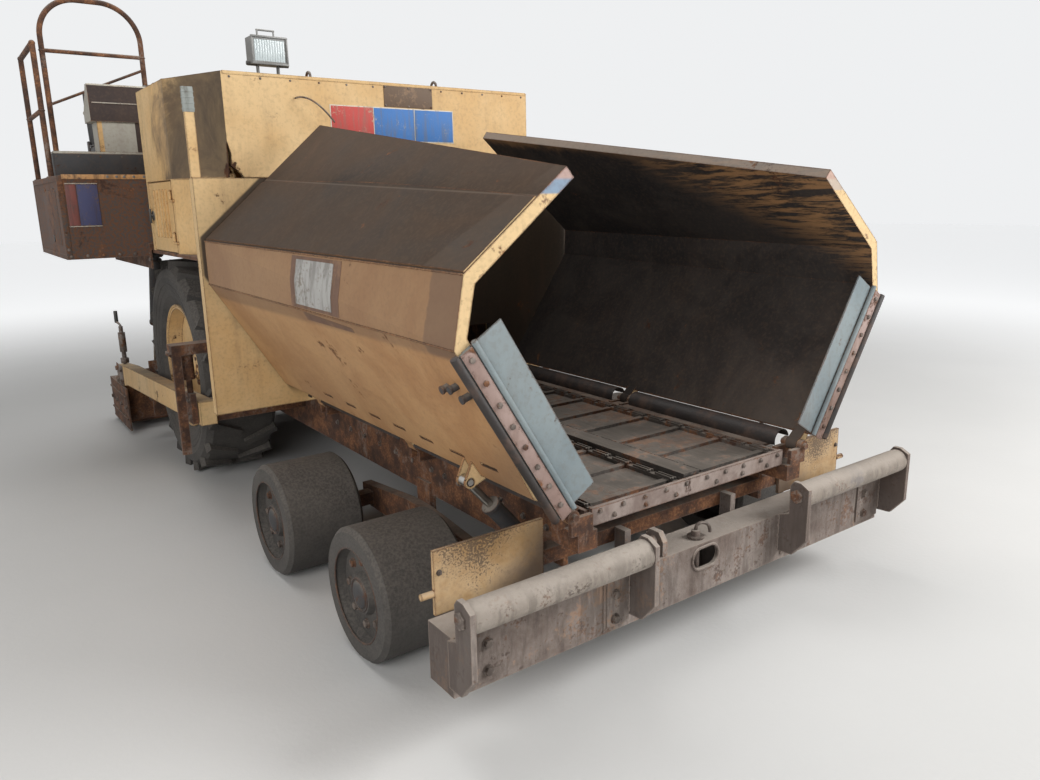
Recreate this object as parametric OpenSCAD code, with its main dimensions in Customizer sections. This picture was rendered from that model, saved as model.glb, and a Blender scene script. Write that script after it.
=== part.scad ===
// Wheeled asphalt paver, parked with both hopper wings folded up.
// Faces -Y, +Z up, ground at z = 0, X = 0 is the machine's centre plane. Millimetres.
// Inside the modules y is counted rearward from the front face of the apron plates.

/* [Overall] */
// Width over the screed
overall_w = 2500; // [2300:10:2600]
// Reach from the apron face forward to the noses of the roller brackets
front_reach = 335; // [330:1:350]
// Reach from the apron face rearward to the edge of the screed walkway
rear_reach = 5535; // [5500:5:5700]

/* [Chassis] */
// Half width over the two side plates
frame_half = 590; // [560:5:610]
// Thickness of the side plates
frame_t = 20; // [12:1:25]
// Underside of the side plates
frame_z = 430; // [400:5:450]
// Top of the side plates along the hopper
hopper_z = 690; // [680:2:700]
// Gap between the rear tyres and the sill over them
sill_gap = 50; // [40:5:90]
// Rear end of the side plates
frame_end = 4380; // [4350:5:4395]
// Thickness of the sill plates over the rear tyres
sill_t = 20; // [10:1:30]

/* [Push beam and rollers] */
// Half width of the beam
beam_half = 1218; // [1215:1:1230]
// Front face of the beam, ahead of the apron
beam_front = 195; // [180:5:210]
// Depth of the beam
beam_d = 150; // [120:5:150]
// Underside of the beam
beam_z = 240; // [220:5:260]
// Height of the beam
beam_h = 215; // [180:5:230]
// Wall of the beam
beam_wall = 12; // [8:1:20]
// Radius of a push roller
roller_r = 53; // [45:1:56]
// Height of the roller axis
roller_z = 560; // [550:1:566]
// Roller axis ahead of the apron
roller_y = 280; // [275:1:284]
// Inner face of the inner roller bracket
bracket_in = 438; // [420:2:460]
// Outer face of the outer roller bracket
bracket_out = 1234; // [1230:1:1245]
// Thickness of the roller brackets
bracket_t = 20; // [14:1:24]
// Underside of the roller brackets
bracket_z = 292; // [280:2:310]
// Length of the tow slot in the beam
tow_slot_w = 146; // [100:2:180]
// Height of the tow slot
tow_slot_h = 86; // [60:2:100]
// Radius of the tow pin
tow_pin_r = 18; // [12:1:24]

/* [Apron and conveyor] */
// Half width over the apron plates
apron_half = 1164; // [1100:2:1200]
// Inner edge of each apron plate
apron_in = 700; // [680:5:740]
// Underside of the apron plates
apron_z = 430; // [400:5:450]
// Height of the apron plates
apron_h = 235; // [200:1:240]
// Thickness of the apron plates
apron_t = 15; // [10:1:20]
// Top of the conveyor deck plate
deck_z = 672; // [660:1:676]
// Thickness of the conveyor deck plate
deck_t = 12; // [8:1:16]
// Distance from one conveyor slat to the next
slat_pitch = 250; // [200:10:320]

/* [Hopper wings] */
// Hinge axis from the centre plane
hinge_x = 670; // [660:2:676]
// Height of the hinge axis
hinge_z = 704; // [700:1:710]
// Front edge of the wings, ahead of the apron
wing_front = 152; // [145:1:160]
// Rear edge of the wings
wing_rear = 2150; // [2100:5:2160]
// Bottom inner corner of a wing, from the centre plane
wing_in_x = 700; // [696:1:706]
// Height of that corner
wing_in_z = 752; // [748:1:758]
// Lower outer corner of a wing
wing_low_x = 854; // [840:2:866]
// Height of that corner
wing_low_z = 817; // [812:1:825]
// Lower bend at the front, outer face
bend1_x = 1146; // [1120:2:1170]
// Height of the lower bend at the front
bend1_z = 1360; // [1330:5:1390]
// Upper bend at the front, outer face
bend2_x = 1105; // [1090:5:1130]
// Height of the upper bend at the front
bend2_z = 1586; // [1560:2:1610]
// Rim of the upper panel at the front, outer face
rim_x = 709; // [690:1:730]
// Height of the rim at the front
rim_z = 1899; // [1880:1:1920]
// Both bends at the rear, outer face
bend_rear_x = 1212; // [1190:2:1220]
// Height of the lower bend at the rear
bend1_rear_z = 1398; // [1370:2:1420]
// Height of the upper bend at the rear
bend2_rear_z = 1616; // [1590:2:1640]
// Rim of the upper panel at the rear, outer face
rim_rear_x = 544; // [520:2:570]
// Height of the rim at the rear
rim_rear_z = 2208; // [2180:2:2230]
// Thickness of the wing's panels
wing_t = 48; // [36:1:56]
// Radius of the hinge eyes
hinge_eye_r = 28; // [24:1:30]
// Radius of the hinge pins
hinge_pin_r = 14; // [10:1:18]
// Height of the row of slots above a wing's lower corner, along its face
slot_up = 85; // [60:5:140]
// Width of the flap sheet inside the front edge of a wing
flap_w = 150; // [120:5:180]

/* [Wing cylinders] */
// Cylinder plane, behind the apron
wcyl_y = 200; // [180:5:230]
// Barrel pin from the centre plane
wcyl_x = 640; // [632:2:650]
// Height of the barrel pin
wcyl_z = 500; // [490:2:520]
// Rod pin on the wing, from the centre plane
wrod_x = 900; // [890:2:910]
// Height of the rod pin
wrod_z = 800; // [790:2:806]
// Radius of the barrel
wcyl_r = 35; // [28:1:38]
// Radius of the rod
wrod_r = 16; // [12:1:20]
// Radius of the cylinder pins
wpin_r = 12; // [8:1:15]
// Play of the rod pins in the eyes on the wings
rod_play = 4.6; // [4:0.1:5]

/* [Back wall and hood] */
// Half width of the hopper's back wall
wall_half = 1232; // [1200:2:1240]
// Front face of the back wall
wall_y = 2180; // [2176:1:2200]
// Thickness of the back wall
wall_t = 60; // [40:1:60]
// Top of the back wall
wall_top = 1931; // [1900:1:1960]
// Half width of the tunnel through the back wall
tunnel_half = 560; // [540:5:570]
// Top of the tunnel
tunnel_top = 1010; // [960:5:1060]
// Half width of the hood's front face
hood_half = 993; // [960:1:1010]
// Half width of the hood behind its splayed corners
hood_wide = 1180; // [1150:2:1190]
// Length of the splayed corners, front to back
hood_splay = 450; // [400:5:480]
// Front face of the hood
hood_y = 2338; // [2320:1:2350]
// Length of the hood
hood_l = 1112; // [1080:2:1130]
// Underside of the hood
hood_z = 1939; // [1936:1:1950]
// Top of the hood
hood_top = 2478; // [2440:1:2500]
// Thickness of the hood's walls
hood_t = 30; // [20:1:40]
// Length of the exhaust pipe above the hood
exhaust_h = 105; // [60:5:110]
// Hood corner posts across
post_w = 40; // [30:1:44]
// Gap round the side doors
door_gap = 6; // [6:1:10]

/* [Wheels] */
// Radius of the solid front tyres
front_r = 276; // [268:1:284]
// Width of the front tyres
front_w = 380; // [340:5:390]
// Outer face of the front tyres from the centre plane
front_out = 1200; // [1180:5:1215]
// First front axle behind the apron
axle1_y = 580; // [565:1:600]
// Second front axle behind the apron
axle2_y = 1560; // [1540:2:1600]
// Kingpin axis from the centre plane
king_x = 925; // [919:1:935]
// Radius of the kingpins
king_r = 22; // [16:1:26]
// Radius of the front wheel spindles
spindle_r = 35; // [28:1:40]
// Radius of the rear tyres over their lugs
rear_r = 725; // [715:1:730]
// Width of the rear tyres
rear_w = 470; // [440:2:474]
// Outer face of the rear tyres from the centre plane
rear_out = 1110; // [1108:1:1116]
// Rear axle behind the apron
axle3_y = 3560; // [3545:1:3575]
// Radius of the rear rims
rim_r = 420; // [400:5:440]
// Height of the tyre lugs
lug_h = 28; // [18:1:36]
// Lugs in each row of a rear tyre
lug_n = 20; // [14:1:24]
// Radius of the rear axle stubs
stub_r = 55; // [45:1:60]

/* [Platform] */
// Reach of the platform beyond the hood's side
plat_out = 20; // [10:5:50]
// Front edge of the platform
plat_y = 3480; // [3470:5:3500]
// Rear edge of the platform
plat_end = 4700; // [4690:5:4740]
// Thickness of the platform floor
plat_t = 40; // [30:1:50]
// Inner face of the two driver's stands
stand_in = 900; // [860:5:920]
// Outer face of the stands, which reach out past the machine's side
stand_out = 1670; // [1640:5:1700]
// Front face of the stands
stand_y = 3500; // [3490:5:3520]
// Top of the stands
stand_top = 1980; // [1960:5:2000]
// Wall of the stands
stand_t = 15; // [10:1:20]
// Front face of the consoles
console_y = 3950; // [3920:5:3980]
// Top of the consoles
console_top = 2575; // [2550:5:2600]
// Height of the handrails
rail_z = 2800; // [2760:5:2840]
// Height of the lower handrails on the left stand
low_rail_z = 2700; // [2650:5:2710]
// Top of the tall hoop on the right stand
hoop_z = 3130; // [3080:5:3180]
// Radius of the hoop's corners
hoop_r = 240; // [200:5:280]
// Radius of the rail tubes
rail_r = 17; // [14:1:20]
// Radius of the steering wheel
wheel_r = 170; // [150:5:175]

/* [Screed] */
// Tow point behind the apron
tow_y = 2620; // [2600:5:2640]
// Height of the tow point
tow_z = 620; // [600:5:640]
// Width of a tow arm
arm_w = 90; // [80:2:94]
// Radius of the tow pins
arm_pin_r = 25; // [20:1:30]
// Top of the brackets over the tow points
guide_z = 1030; // [1000:5:1060]
// Front face of the screed
screed_y = 4850; // [4840:5:4870]
// Length of the screed front to back
screed_l = 500; // [460:5:520]
// Underside of the screed as it is carried
screed_z = 60; // [55:1:70]
// Top of the screed
screed_top = 380; // [360:2:400]
// Auger axis behind the apron
auger_y = 4600; // [4596:2:4610]
// Height of the auger axis
auger_z = 330; // [320:2:350]
// Radius of the auger flights
auger_r = 165; // [150:1:165]
// Radius of the auger shafts
auger_shaft_r = 38; // [28:1:45]
// Turns of each auger flight
auger_turns = 4; // [3:1:6]
// Upper pin of the screed lift cylinders behind the apron
lift_y = 4530; // [4515:5:4545]
// Height of the upper pin
lift_z = 1440; // [1430:2:1450]
// Lower pin of the lift cylinders behind the apron
lift_eye_y = 4950; // [4940:2:4970]
// Height of the lower pin
lift_eye_z = 480; // [470:2:500]
// Lift cylinders from the end of the screed
lift_in = 300; // [270:5:330]

/* [Hidden] */
$fn = 48;
mid_y = (rear_reach - front_reach)/2;
clear = 0.3;
beam_back = beam_front - beam_d;
beam_top = beam_z + beam_h;
slot_z = beam_z + beam_h/2 + 44;
slot_run = (tow_slot_w - tow_slot_h)/2;
hinge_ys = [-90, 1000, 2060];
slot_ys = [50, 260, 487, 712, 939, 1185, 1443];
sill_z = 2*rear_r + sill_gap;
eye_w = 60;
ear_t = 20;
floor_a = atan2(bend1_z - wing_low_z, bend1_x - wing_low_x);
hood_end = hood_y + hood_l;
splay_y = hood_y + hood_splay;
door_y = splay_y + 10 + post_w + door_gap;
front_in = front_out - front_w;
axle_ys = [axle1_y, axle2_y];
bogie_y = (axle1_y + axle2_y)/2;
bogie_w = 50;
bogie_x = frame_half + 15;
rear_in = rear_out - rear_w;
plat_z = sill_z + sill_t;
plat_half = hood_wide + plat_out;
knuckle_zs = [plat_z + 70, hood_z - 110];
plat_top = plat_z + plat_t;
lift_x = overall_w/2 - lift_in;
stand_w = stand_out - stand_in;
arm_x = rear_out + 30;
seat_y = plat_end - 400;
rail_end = plat_end - 40;
hoop_in = stand_in + 50;
hoop_out = stand_out - 110;
hoop_y = console_y + 260;
screed_end = screed_y + screed_l;
wcyl_a = atan2(wrod_z - wcyl_z, wrod_x - wcyl_x);
wcyl_len = norm([wrod_x - wcyl_x, wrod_z - wcyl_z]);
lift_a = atan2(lift_eye_z - lift_z, lift_eye_y - lift_y);
lift_len = norm([lift_eye_y - lift_y, lift_eye_z - lift_z]);

// A box from its low corner to its high corner
module block(low, high) {
    translate(low) cube(high - low);
}

// A round bar along X between two x values
module bar_x(r, x0, x1, y, z) {
    translate([x0, y, z]) rotate([0, 90, 0]) cylinder(h = x1 - x0, r = r);
}

// A round bar along Y between two y values
module bar_y(r, y0, y1, x, z) {
    translate([x, y0, z]) rotate([-90, 0, 0]) cylinder(h = y1 - y0, r = r);
}

// A plate standing across X, from a list of [y, z] corners
module side_plate(points, x0, t) {
    translate([x0, 0, 0]) rotate([90, 0, 90]) linear_extrude(height = t) polygon(points);
}

// A plate standing across Y, from a list of [x, z] corners
module cross_plate(points, y0, t) {
    translate([0, y0 + t, 0]) rotate([90, 0, 0]) linear_extrude(height = t) polygon(points);
}

// The given piece on the left (+X) and again on the right
module both() {
    children();
    mirror([1, 0, 0]) children();
}

// Shifts a piece from apron-based y to the frame's origin
module place() {
    translate([0, -mid_y, 0]) children();
}

module frame_side() {
    side_plate([[15, frame_z], [15, hopper_z], [wall_y + wall_t, hopper_z],
        [wall_y + wall_t, sill_z], [frame_end, sill_z], [frame_end, 560], [frame_end - 280, frame_z]],
        frame_half - frame_t, frame_t);
    // flange under the wing's hinge line
    block([frame_half - 20, 15, hopper_z - 10], [frame_half + 46, wall_y, hopper_z]);
    // sill over the rear tyre
    block([frame_half - 30, wall_y + wall_t, sill_z], [hood_wide, frame_end, plat_z]);
    // front cross tube half, which carries the apron plate
    block([0, 15, 470], [apron_half - 64, 75, 530]);
    // hinge brackets with their pins
    for (y = hinge_ys) {
        difference() {
            union() {
                for (s = [-1, 1])
                    translate([0, y + s*(eye_w/2 + ear_t/2 + clear), 0]) {
                        bar_y(hinge_eye_r - 2, -ear_t/2, ear_t/2, hinge_x, hinge_z);
                        block([frame_half - 10, -ear_t/2, hinge_z - 74],
                            [hinge_x + 10, ear_t/2, hinge_z - 6]);
                    }
                bar_y(hinge_pin_r, y - eye_w/2 - 34, y + eye_w/2 + 34, hinge_x, hinge_z);
            }
            bar_y(hinge_eye_r + 4, y - eye_w/2 - clear, y + eye_w/2 + clear, hinge_x, hinge_z);
        }
        bar_y(hinge_pin_r, y - eye_w/2 - 5, y + eye_w/2 + 5, hinge_x, hinge_z);
    }
    // block that carries the front hinge bracket ahead of the side plate
    block([frame_half - 30, -140, 560], [frame_half + 60, 16, hinge_z - 70]);
    // lugs and pin for the wing cylinder
    for (s = [-1, 1])
        block([frame_half - 5, wcyl_y + s*26 - 6, wcyl_z - 22], [wcyl_x + 20, wcyl_y + s*26 + 6, wcyl_z + 22]);
    bar_y(wpin_r, wcyl_y - 36, wcyl_y + 36, wcyl_x, wcyl_z);
    // cross box that ends in the tow pin
    block([frame_half - 5, tow_y - 60, tow_z - 60], [arm_x - 5, tow_y + 60, tow_z + 60]);
    bar_x(arm_pin_r, arm_x - 6, arm_x + arm_w + 18, tow_y, tow_z);
    // guide block outside the arm, its levelling cylinder and the bracket above them
    block([arm_x + arm_w + 6, tow_y - 50, tow_z - 60], [arm_x + arm_w + 40, tow_y + 50, tow_z + 120]);
    translate([arm_x + arm_w + 23, tow_y, tow_z + 119]) cylinder(h = guide_z - tow_z - 120, r = 17);
    translate([arm_x + arm_w + 23, tow_y, tow_z + 200]) cylinder(h = guide_z - tow_z - 201, r = 34);
    block([frame_half - 5, tow_y - 60, guide_z - 60], [arm_x + arm_w + 115, tow_y + 40, guide_z]);
    block([arm_x + arm_w + 65, tow_y - 60, 390], [arm_x + arm_w + 115, tow_y - 40, guide_z - 59]);
    // rear axle stub
    bar_x(stub_r + 60, frame_half - 5, frame_half + 25, axle3_y, rear_r);
    bar_x(stub_r, frame_half, rear_out - 200, axle3_y, rear_r);
}

module chassis() {
    place() color("Peru") {
        both() frame_side();
        // belly cross tubes
        for (y = [600, bogie_y - 30, wall_y - 80, axle3_y - 260])
            block([-frame_half + 10, y, 440], [frame_half - 10, y + 60, 500]);
        // engine deck
        block([-frame_half + 10, wall_y + wall_t, 1230], [frame_half - 10, frame_end, 1250]);
        // rear cross plates above and below the conveyor's mouth
        block([-frame_half + 10, frame_end - 20, 1080], [frame_half - 10, frame_end, sill_z]);
        block([-frame_half + 10, frame_end - 20, 560], [frame_half - 10, frame_end, 640]);
    }
}

module roller_bracket(x0) {
    difference() {
        side_plate([[-beam_front, bracket_z - 4], [-beam_front, beam_top],
            [-roller_y + 36, beam_top + 18], [-roller_y + 36, roller_z + 40],
            [-roller_y + 20, roller_z + 62], [-roller_y - 14, roller_z + 62],
            [-front_reach, roller_z + 40], [-front_reach, bracket_z + 80],
            [-front_reach + 66, bracket_z]], x0, bracket_t);
        bar_x(20 + clear, x0 - 5, x0 + bracket_t + 5, -roller_y, roller_z);
    }
}

module push_beam() {
    place() color("SaddleBrown") {
        difference() {
            block([-beam_half, -beam_front, beam_z], [beam_half, -beam_back, beam_top]);
            block([-beam_half + beam_wall, -beam_front + beam_wall, beam_z + beam_wall],
                [beam_half - beam_wall, -beam_back - beam_wall, beam_top - beam_wall]);
            // slot with round ends
            block([-30 - slot_run, -beam_front - 1, slot_z - tow_slot_h/2],
                [-30 + slot_run, -beam_front + beam_wall + 1, slot_z + tow_slot_h/2]);
            for (s = [-1, 1])
                bar_y(tow_slot_h/2, -beam_front - 1, -beam_front + beam_wall + 1, -30 + s*slot_run, slot_z);
        }
        // tow pin inside the slot
        translate([-30, -beam_front + 55, beam_z]) cylinder(h = beam_h + 34, r = tow_pin_r);
        both() {
            roller_bracket(bracket_out - bracket_t);
            roller_bracket(bracket_in);
            // arms back to the front cross tube
            block([300, -beam_back, 300], [330, 15, 530]);
        }
        // towing lug on top of the beam
        difference() {
            side_plate([[-190, beam_top], [-190, beam_top + 60], [-165, beam_top + 95],
                [-115, beam_top + 95], [-90, beam_top + 60], [-90, beam_top]], -270, 25);
            bar_x(18, -280, -240, -140, beam_top + 55);
        }
    }
}

module push_roller() {
    place() color("Silver") {
        bar_x(roller_r, bracket_in + bracket_t + 2, bracket_out - bracket_t - 2, -roller_y, roller_z);
        bar_x(20, bracket_in + 2, bracket_out - 2, -roller_y, roller_z);
    }
}

module apron() {
    place() color("Orange") {
        both() {
            block([apron_in, 0, apron_z], [apron_half, apron_t, apron_z + apron_h]);
            // gussets that carry the lip bar
            block([frame_half - 30, -90, 640], [frame_half - 12, 15, hopper_z]);
        }
        block([-frame_half + 30, -110, 632], [frame_half - 30, -90, 700]);
        both() bar_x(12, apron_half, apron_half + 50, apron_t/2, 510);
    }
}

module conveyor() {
    place() color("DimGray") {
        block([-frame_half + frame_t, 15, deck_z - deck_t], [frame_half - frame_t, frame_end + 20, deck_z]);
        block([-frame_half + 30, -90, deck_z - deck_t], [frame_half - 30, 15, deck_z]);
        // middle cover between the two slat runs
        block([-45, -80, deck_z], [45, frame_end + 10, deck_z + 40]);
        both() {
            // chains
            for (x = [60, 515]) block([x, -70, deck_z], [x + 30, frame_end + 5, deck_z + 16]);
            // slats
            for (y = [-40 : slat_pitch : frame_end - 20])
                block([90, y, deck_z], [515, y + 30, deck_z + 14]);
        }
        // sprocket shafts under both ends of the deck
        for (y = [80, frame_end - 80]) bar_x(45, -frame_half + frame_t + clear, frame_half - frame_t - clear, y, 590);
    }
}

// A slab between a front and a rear quad of [x, z] corners
module wing_slab(front, rear) {
    hull() {
        cross_plate(front, -wing_front, 0.1);
        cross_plate(rear, wing_rear - 0.1, 0.1);
    }
}

module wing() {
    in1 = [bend1_x - wing_t, bend1_z + 32];
    in2 = [bend2_x - 41, bend2_z - 30];
    in3 = [rim_x - 30, rim_z - 35];
    rin1 = [bend_rear_x - wing_t, bend1_rear_z + 32];
    rin2 = [bend_rear_x - wing_t + 6, bend2_rear_z - 26];
    rin3 = [rim_rear_x - 28, rim_rear_z - 38];
    low = [[wing_in_x, wing_in_z], [wing_low_x, wing_low_z]];
    out1 = [bend1_x, bend1_z];
    out2 = [bend2_x, bend2_z];
    out3 = [rim_x, rim_z];
    rout1 = [bend_rear_x, bend1_rear_z];
    rout2 = [bend_rear_x, bend2_rear_z];
    rout3 = [rim_rear_x, rim_rear_z];
    place() color("Orange") {
        difference() {
            wing_slab([low[0], low[1], out1, in1], [low[0], low[1], rout1, rin1]);
            // shallow slots in the outer face
            for (y = slot_ys)
                translate([wing_low_x, y, wing_low_z]) rotate([0, -floor_a, 0])
                    block([slot_up - 7, -50, -5], [slot_up + 7, 50, 10]);
        }
        wing_slab([in1, out1, out2, in2], [rin1, rout1, rout2, rin2]);
        wing_slab([in2, out2, out3, in3], [rin2, rout2, rout3, rin3]);
        // hinge eyes with tabs up into the floor slab
        for (y = hinge_ys) difference() {
            union() {
                bar_y(hinge_eye_r, y - eye_w/2, y + eye_w/2, hinge_x, hinge_z);
                cross_plate([[hinge_x - 16, hinge_z + 16], [hinge_x + 24, hinge_z - 8],
                    [wing_in_x + 50, wing_in_z + 26], [wing_in_x + 14, wing_in_z + 20]],
                    y - eye_w/2, eye_w);
            }
            bar_y(hinge_pin_r + clear, y - eye_w/2 - 1, y + eye_w/2 + 1, hinge_x, hinge_z);
        }
        // ears for the rod pin
        for (s = [-1, 1]) difference() {
            union() {
                bar_y(24, wcyl_y + s*26 - 6, wcyl_y + s*26 + 6, wrod_x, wrod_z);
                cross_plate([[wing_low_x - 60, wing_low_z], [wrod_x - 8, wrod_z - 22],
                    [wrod_x + 22, wrod_z + 8], [wing_low_x + 30, wing_low_z + 80]],
                    wcyl_y + s*26 - 6, 12);
            }
            bar_y(wpin_r + rod_play, wcyl_y - 60, wcyl_y + 60, wrod_x, wrod_z);
        }
    }
}

// Sheet, clamp bar and round bar along the front edge of a wing's floor
module flap() {
    l = norm([bend1_x - wing_t - wing_in_x, bend1_z + 32 - wing_in_z]) - 20;
    a = atan2(bend1_z + 32 - wing_in_z, bend1_x - wing_t - wing_in_x);
    place() color("SlateGray")
        translate([wing_in_x, -wing_front, wing_in_z]) rotate([0, -a, 0]) {
            block([6, -6, -40], [l, 0, flap_w - 20]);
            block([6, -18, -56], [l, -6, -8]);
            translate([0, -16.3, 8]) rotate([0, 90, 0]) cylinder(h = l + 10, r = 10);
        }
}

module wing_barrel() {
    place() color("DarkSlateGray")
        translate([wcyl_x, wcyl_y, wcyl_z]) rotate([0, -wcyl_a, 0]) difference() {
            union() {
                rotate([90, 0, 0]) cylinder(h = 38, r = 24, center = true);
                rotate([0, 90, 0]) cylinder(h = 41, r = 18);
                translate([40, 0, 0]) rotate([0, 90, 0]) cylinder(h = 200, r = wcyl_r);
            }
            rotate([90, 0, 0]) cylinder(h = 80, r = wpin_r + clear, center = true);
            translate([60, 0, 0]) rotate([0, 90, 0]) cylinder(h = 300, r = wrod_r + clear);
        }
}

module wing_rod() {
    place() color("Silver")
        translate([wrod_x, wcyl_y, wrod_z]) rotate([0, -wcyl_a, 0]) {
            rotate([90, 0, 0]) cylinder(h = 64, r = wpin_r, center = true);
            rotate([90, 0, 0]) cylinder(h = 38, r = 22, center = true);
            translate([-wcyl_len + 175, 0, 0]) rotate([0, 90, 0])
                cylinder(h = wcyl_len - 175 - 10, r = wrod_r);
        }
}

module back_wall() {
    place() color("Orange") {
        difference() {
            block([-wall_half, wall_y, hopper_z], [wall_half, wall_y + wall_t, wall_top]);
            block([-tunnel_half, wall_y - 1, hopper_z - 1], [tunnel_half, wall_y + wall_t + 1, tunnel_top]);
        }
        // flat bar that stands on the right top corner
        block([-wall_half, wall_y + 20, wall_top], [-wall_half + 50, wall_y + 34, 2369]);
    }
}

// Hood's outline seen from above, drawn in by t
module hood_plan(t) {
    polygon([[-hood_half + t*1.2, hood_y + t], [hood_half - t*1.2, hood_y + t],
        [hood_wide - t, splay_y + t/4], [hood_wide - t, hood_end - t],
        [-hood_wide + t, hood_end - t], [-hood_wide + t, splay_y + t/4]]);
}

module hood() {
    place() color("Orange") {
        difference() {
            translate([0, 0, hood_z]) linear_extrude(height = hood_top - hood_z) hood_plan(0);
            translate([0, 0, hood_z - 1]) linear_extrude(height = hood_top - hood_z - hood_t + 1) hood_plan(hood_t);
            // torn lower corner at the front right
            cross_plate([[-hood_half - 1, hood_z - 1], [-hood_half - 1, hood_z + 190],
                [-hood_half + 18, hood_z + 120], [-hood_half + 12, hood_z + 60],
                [-hood_half + 60, hood_z + 24], [-hood_half + 75, hood_z - 1]], hood_y - 1, hood_t + 10);
        }
        both() {
            // corner posts and the fixed splayed panel between them
            for (y = [splay_y + 10, hood_end - post_w])
                block([hood_wide - post_w, y, plat_z], [hood_wide, y + post_w, hood_z + 40]);
            translate([0, 0, plat_z]) linear_extrude(height = hood_z - plat_z + 20)
                polygon([[hood_half - 40, hood_y + 40], [hood_half, hood_y + 36],
                    [hood_wide, splay_y + 10.5], [hood_wide - 30, splay_y + 20]]);
            // hinge lugs and pins of the side doors
            for (z = knuckle_zs) {
                block([hood_wide, splay_y + 10, z - 14], [hood_wide + 13, door_y + 9, z - clear]);
                translate([hood_wide + 9, door_y + 9, z - 14]) cylinder(h = 14 - clear, r = 8.5);
                translate([hood_wide + 9, door_y + 9, z - 10]) cylinder(h = 66, r = 5);
            }
        }
    }
}

module hood_door() {
    y1 = hood_end - post_w - door_gap;
    place() color("Orange") {
        difference() {
            block([hood_wide - 30, door_y, plat_z + door_gap], [hood_wide, y1, hood_z - door_gap]);
            for (i = [0 : 4])
                block([hood_wide - 31, door_y + 120 + i*75, plat_z + 90],
                    [hood_wide + 1, door_y + 145 + i*75, plat_z + 330]);
        }
        for (z = knuckle_zs) difference() {
            union() {
                translate([hood_wide + 9, door_y + 9, z]) cylinder(h = 50, r = 9);
                block([hood_wide, door_y + 9, z], [hood_wide + 6, door_y + 50, z + 50]);
            }
            translate([hood_wide + 9, door_y + 9, z - 1]) cylinder(h = 52, r = 5 + clear);
        }
    }
}

module engine() {
    place() color("DimGray") block([-380, hood_y + 162, 1250], [380, hood_end - 150, 1850]);
}

module work_lamp() {
    place() color("Gainsboro") translate([-715, hood_y + 60, hood_top]) {
        // foot and arms
        block([-60, -20, 0], [60, 20, 8]);
        for (s = [-1, 1]) block([s*56 - 4, -15, 0], [s*56 + 4, 15, 60]);
        // housing, deeper at the back, and its front frame
        difference() {
            block([-97, -50, 52], [97, 45, 190]);
            block([-84, -51, 66], [84, -30, 176]);
        }
        // wire handle
        for (s = [-1, 1]) translate([s*45, 0, 180]) cylinder(h = 50, r = 5);
        translate([0, 0, 230]) rotate([0, 90, 0]) cylinder(h = 100, r = 5, center = true);
    }
}

module exhaust() {
    place() color("SaddleBrown") translate([620, hood_end - 220, hood_top]) {
        cylinder(h = 12, r = 75);
        difference() {
            cylinder(h = exhaust_h, r = 45);
            translate([0, 0, 20]) cylinder(h = exhaust_h, r = 39);
        }
    }
}

// Side beams that join the two front axles, with their axle arms and kingpins
module bogies() {
    place() color("SaddleBrown") both() {
        side_plate([[axle1_y - 90, front_r - 55], [axle1_y - 90, front_r + 55],
            [bogie_y - 90, front_r + 105], [bogie_y + 90, front_r + 105],
            [axle2_y + 90, front_r + 55], [axle2_y + 90, front_r - 55],
            [bogie_y + 90, front_r - 60], [bogie_y - 90, front_r - 60]], bogie_x, bogie_w);
        // pivot block against the chassis
        block([frame_half - 20, bogie_y - 60, frame_z - 170], [bogie_x, bogie_y + 60, frame_z]);
        block([frame_half, bogie_y - 60, frame_z], [bogie_x, bogie_y + 60, frame_z + 60]);
        for (y = axle_ys) {
            block([bogie_x + bogie_w - 1, y - 34, front_r - 34], [king_x, y + 34, front_r + 34]);
            translate([king_x, y, front_r - 34]) cylinder(h = 68, r = 34);
            translate([king_x, y, front_r - 78]) cylinder(h = 156, r = king_r);
        }
    }
}

module knuckle(y) {
    place() color("DarkSlateGray") difference() {
        union() {
            for (s = [-1, 1]) {
                translate([king_x, y, front_r + s*57 - 22]) cylinder(h = 44, r = 38);
                block([king_x, y - 38, front_r + s*57 - 22], [king_x + 62, y + 38, front_r + s*57 + 22]);
            }
            block([king_x + 40, y - 38, front_r - 79], [king_x + 62, y + 38, front_r + 79]);
            bar_x(spindle_r, king_x + 60, front_out - 40, y, front_r);
        }
        translate([king_x, y, front_r - 100]) cylinder(h = 200, r = king_r + clear);
        translate([king_x, y, front_r - 34 - clear]) cylinder(h = 68 + 2*clear, r = 39);
    }
}

module front_wheel(y) {
    place() color("DimGray") translate([front_in, y, front_r]) rotate([90, 0, 90]) rotate_extrude($fn = 96)
        polygon([[spindle_r + clear, king_x + 66 - front_in], [front_r - 60, king_x + 66 - front_in],
            [front_r - 90, 6], [front_r - 18, 0], [front_r, 18], [front_r, front_w - 18],
            [front_r - 18, front_w], [front_r - 78, front_w], [front_r - 90, front_w - 46],
            [90, front_w - 46], [80, front_w - 20], [spindle_r + clear, front_w - 20]]);
}

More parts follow.
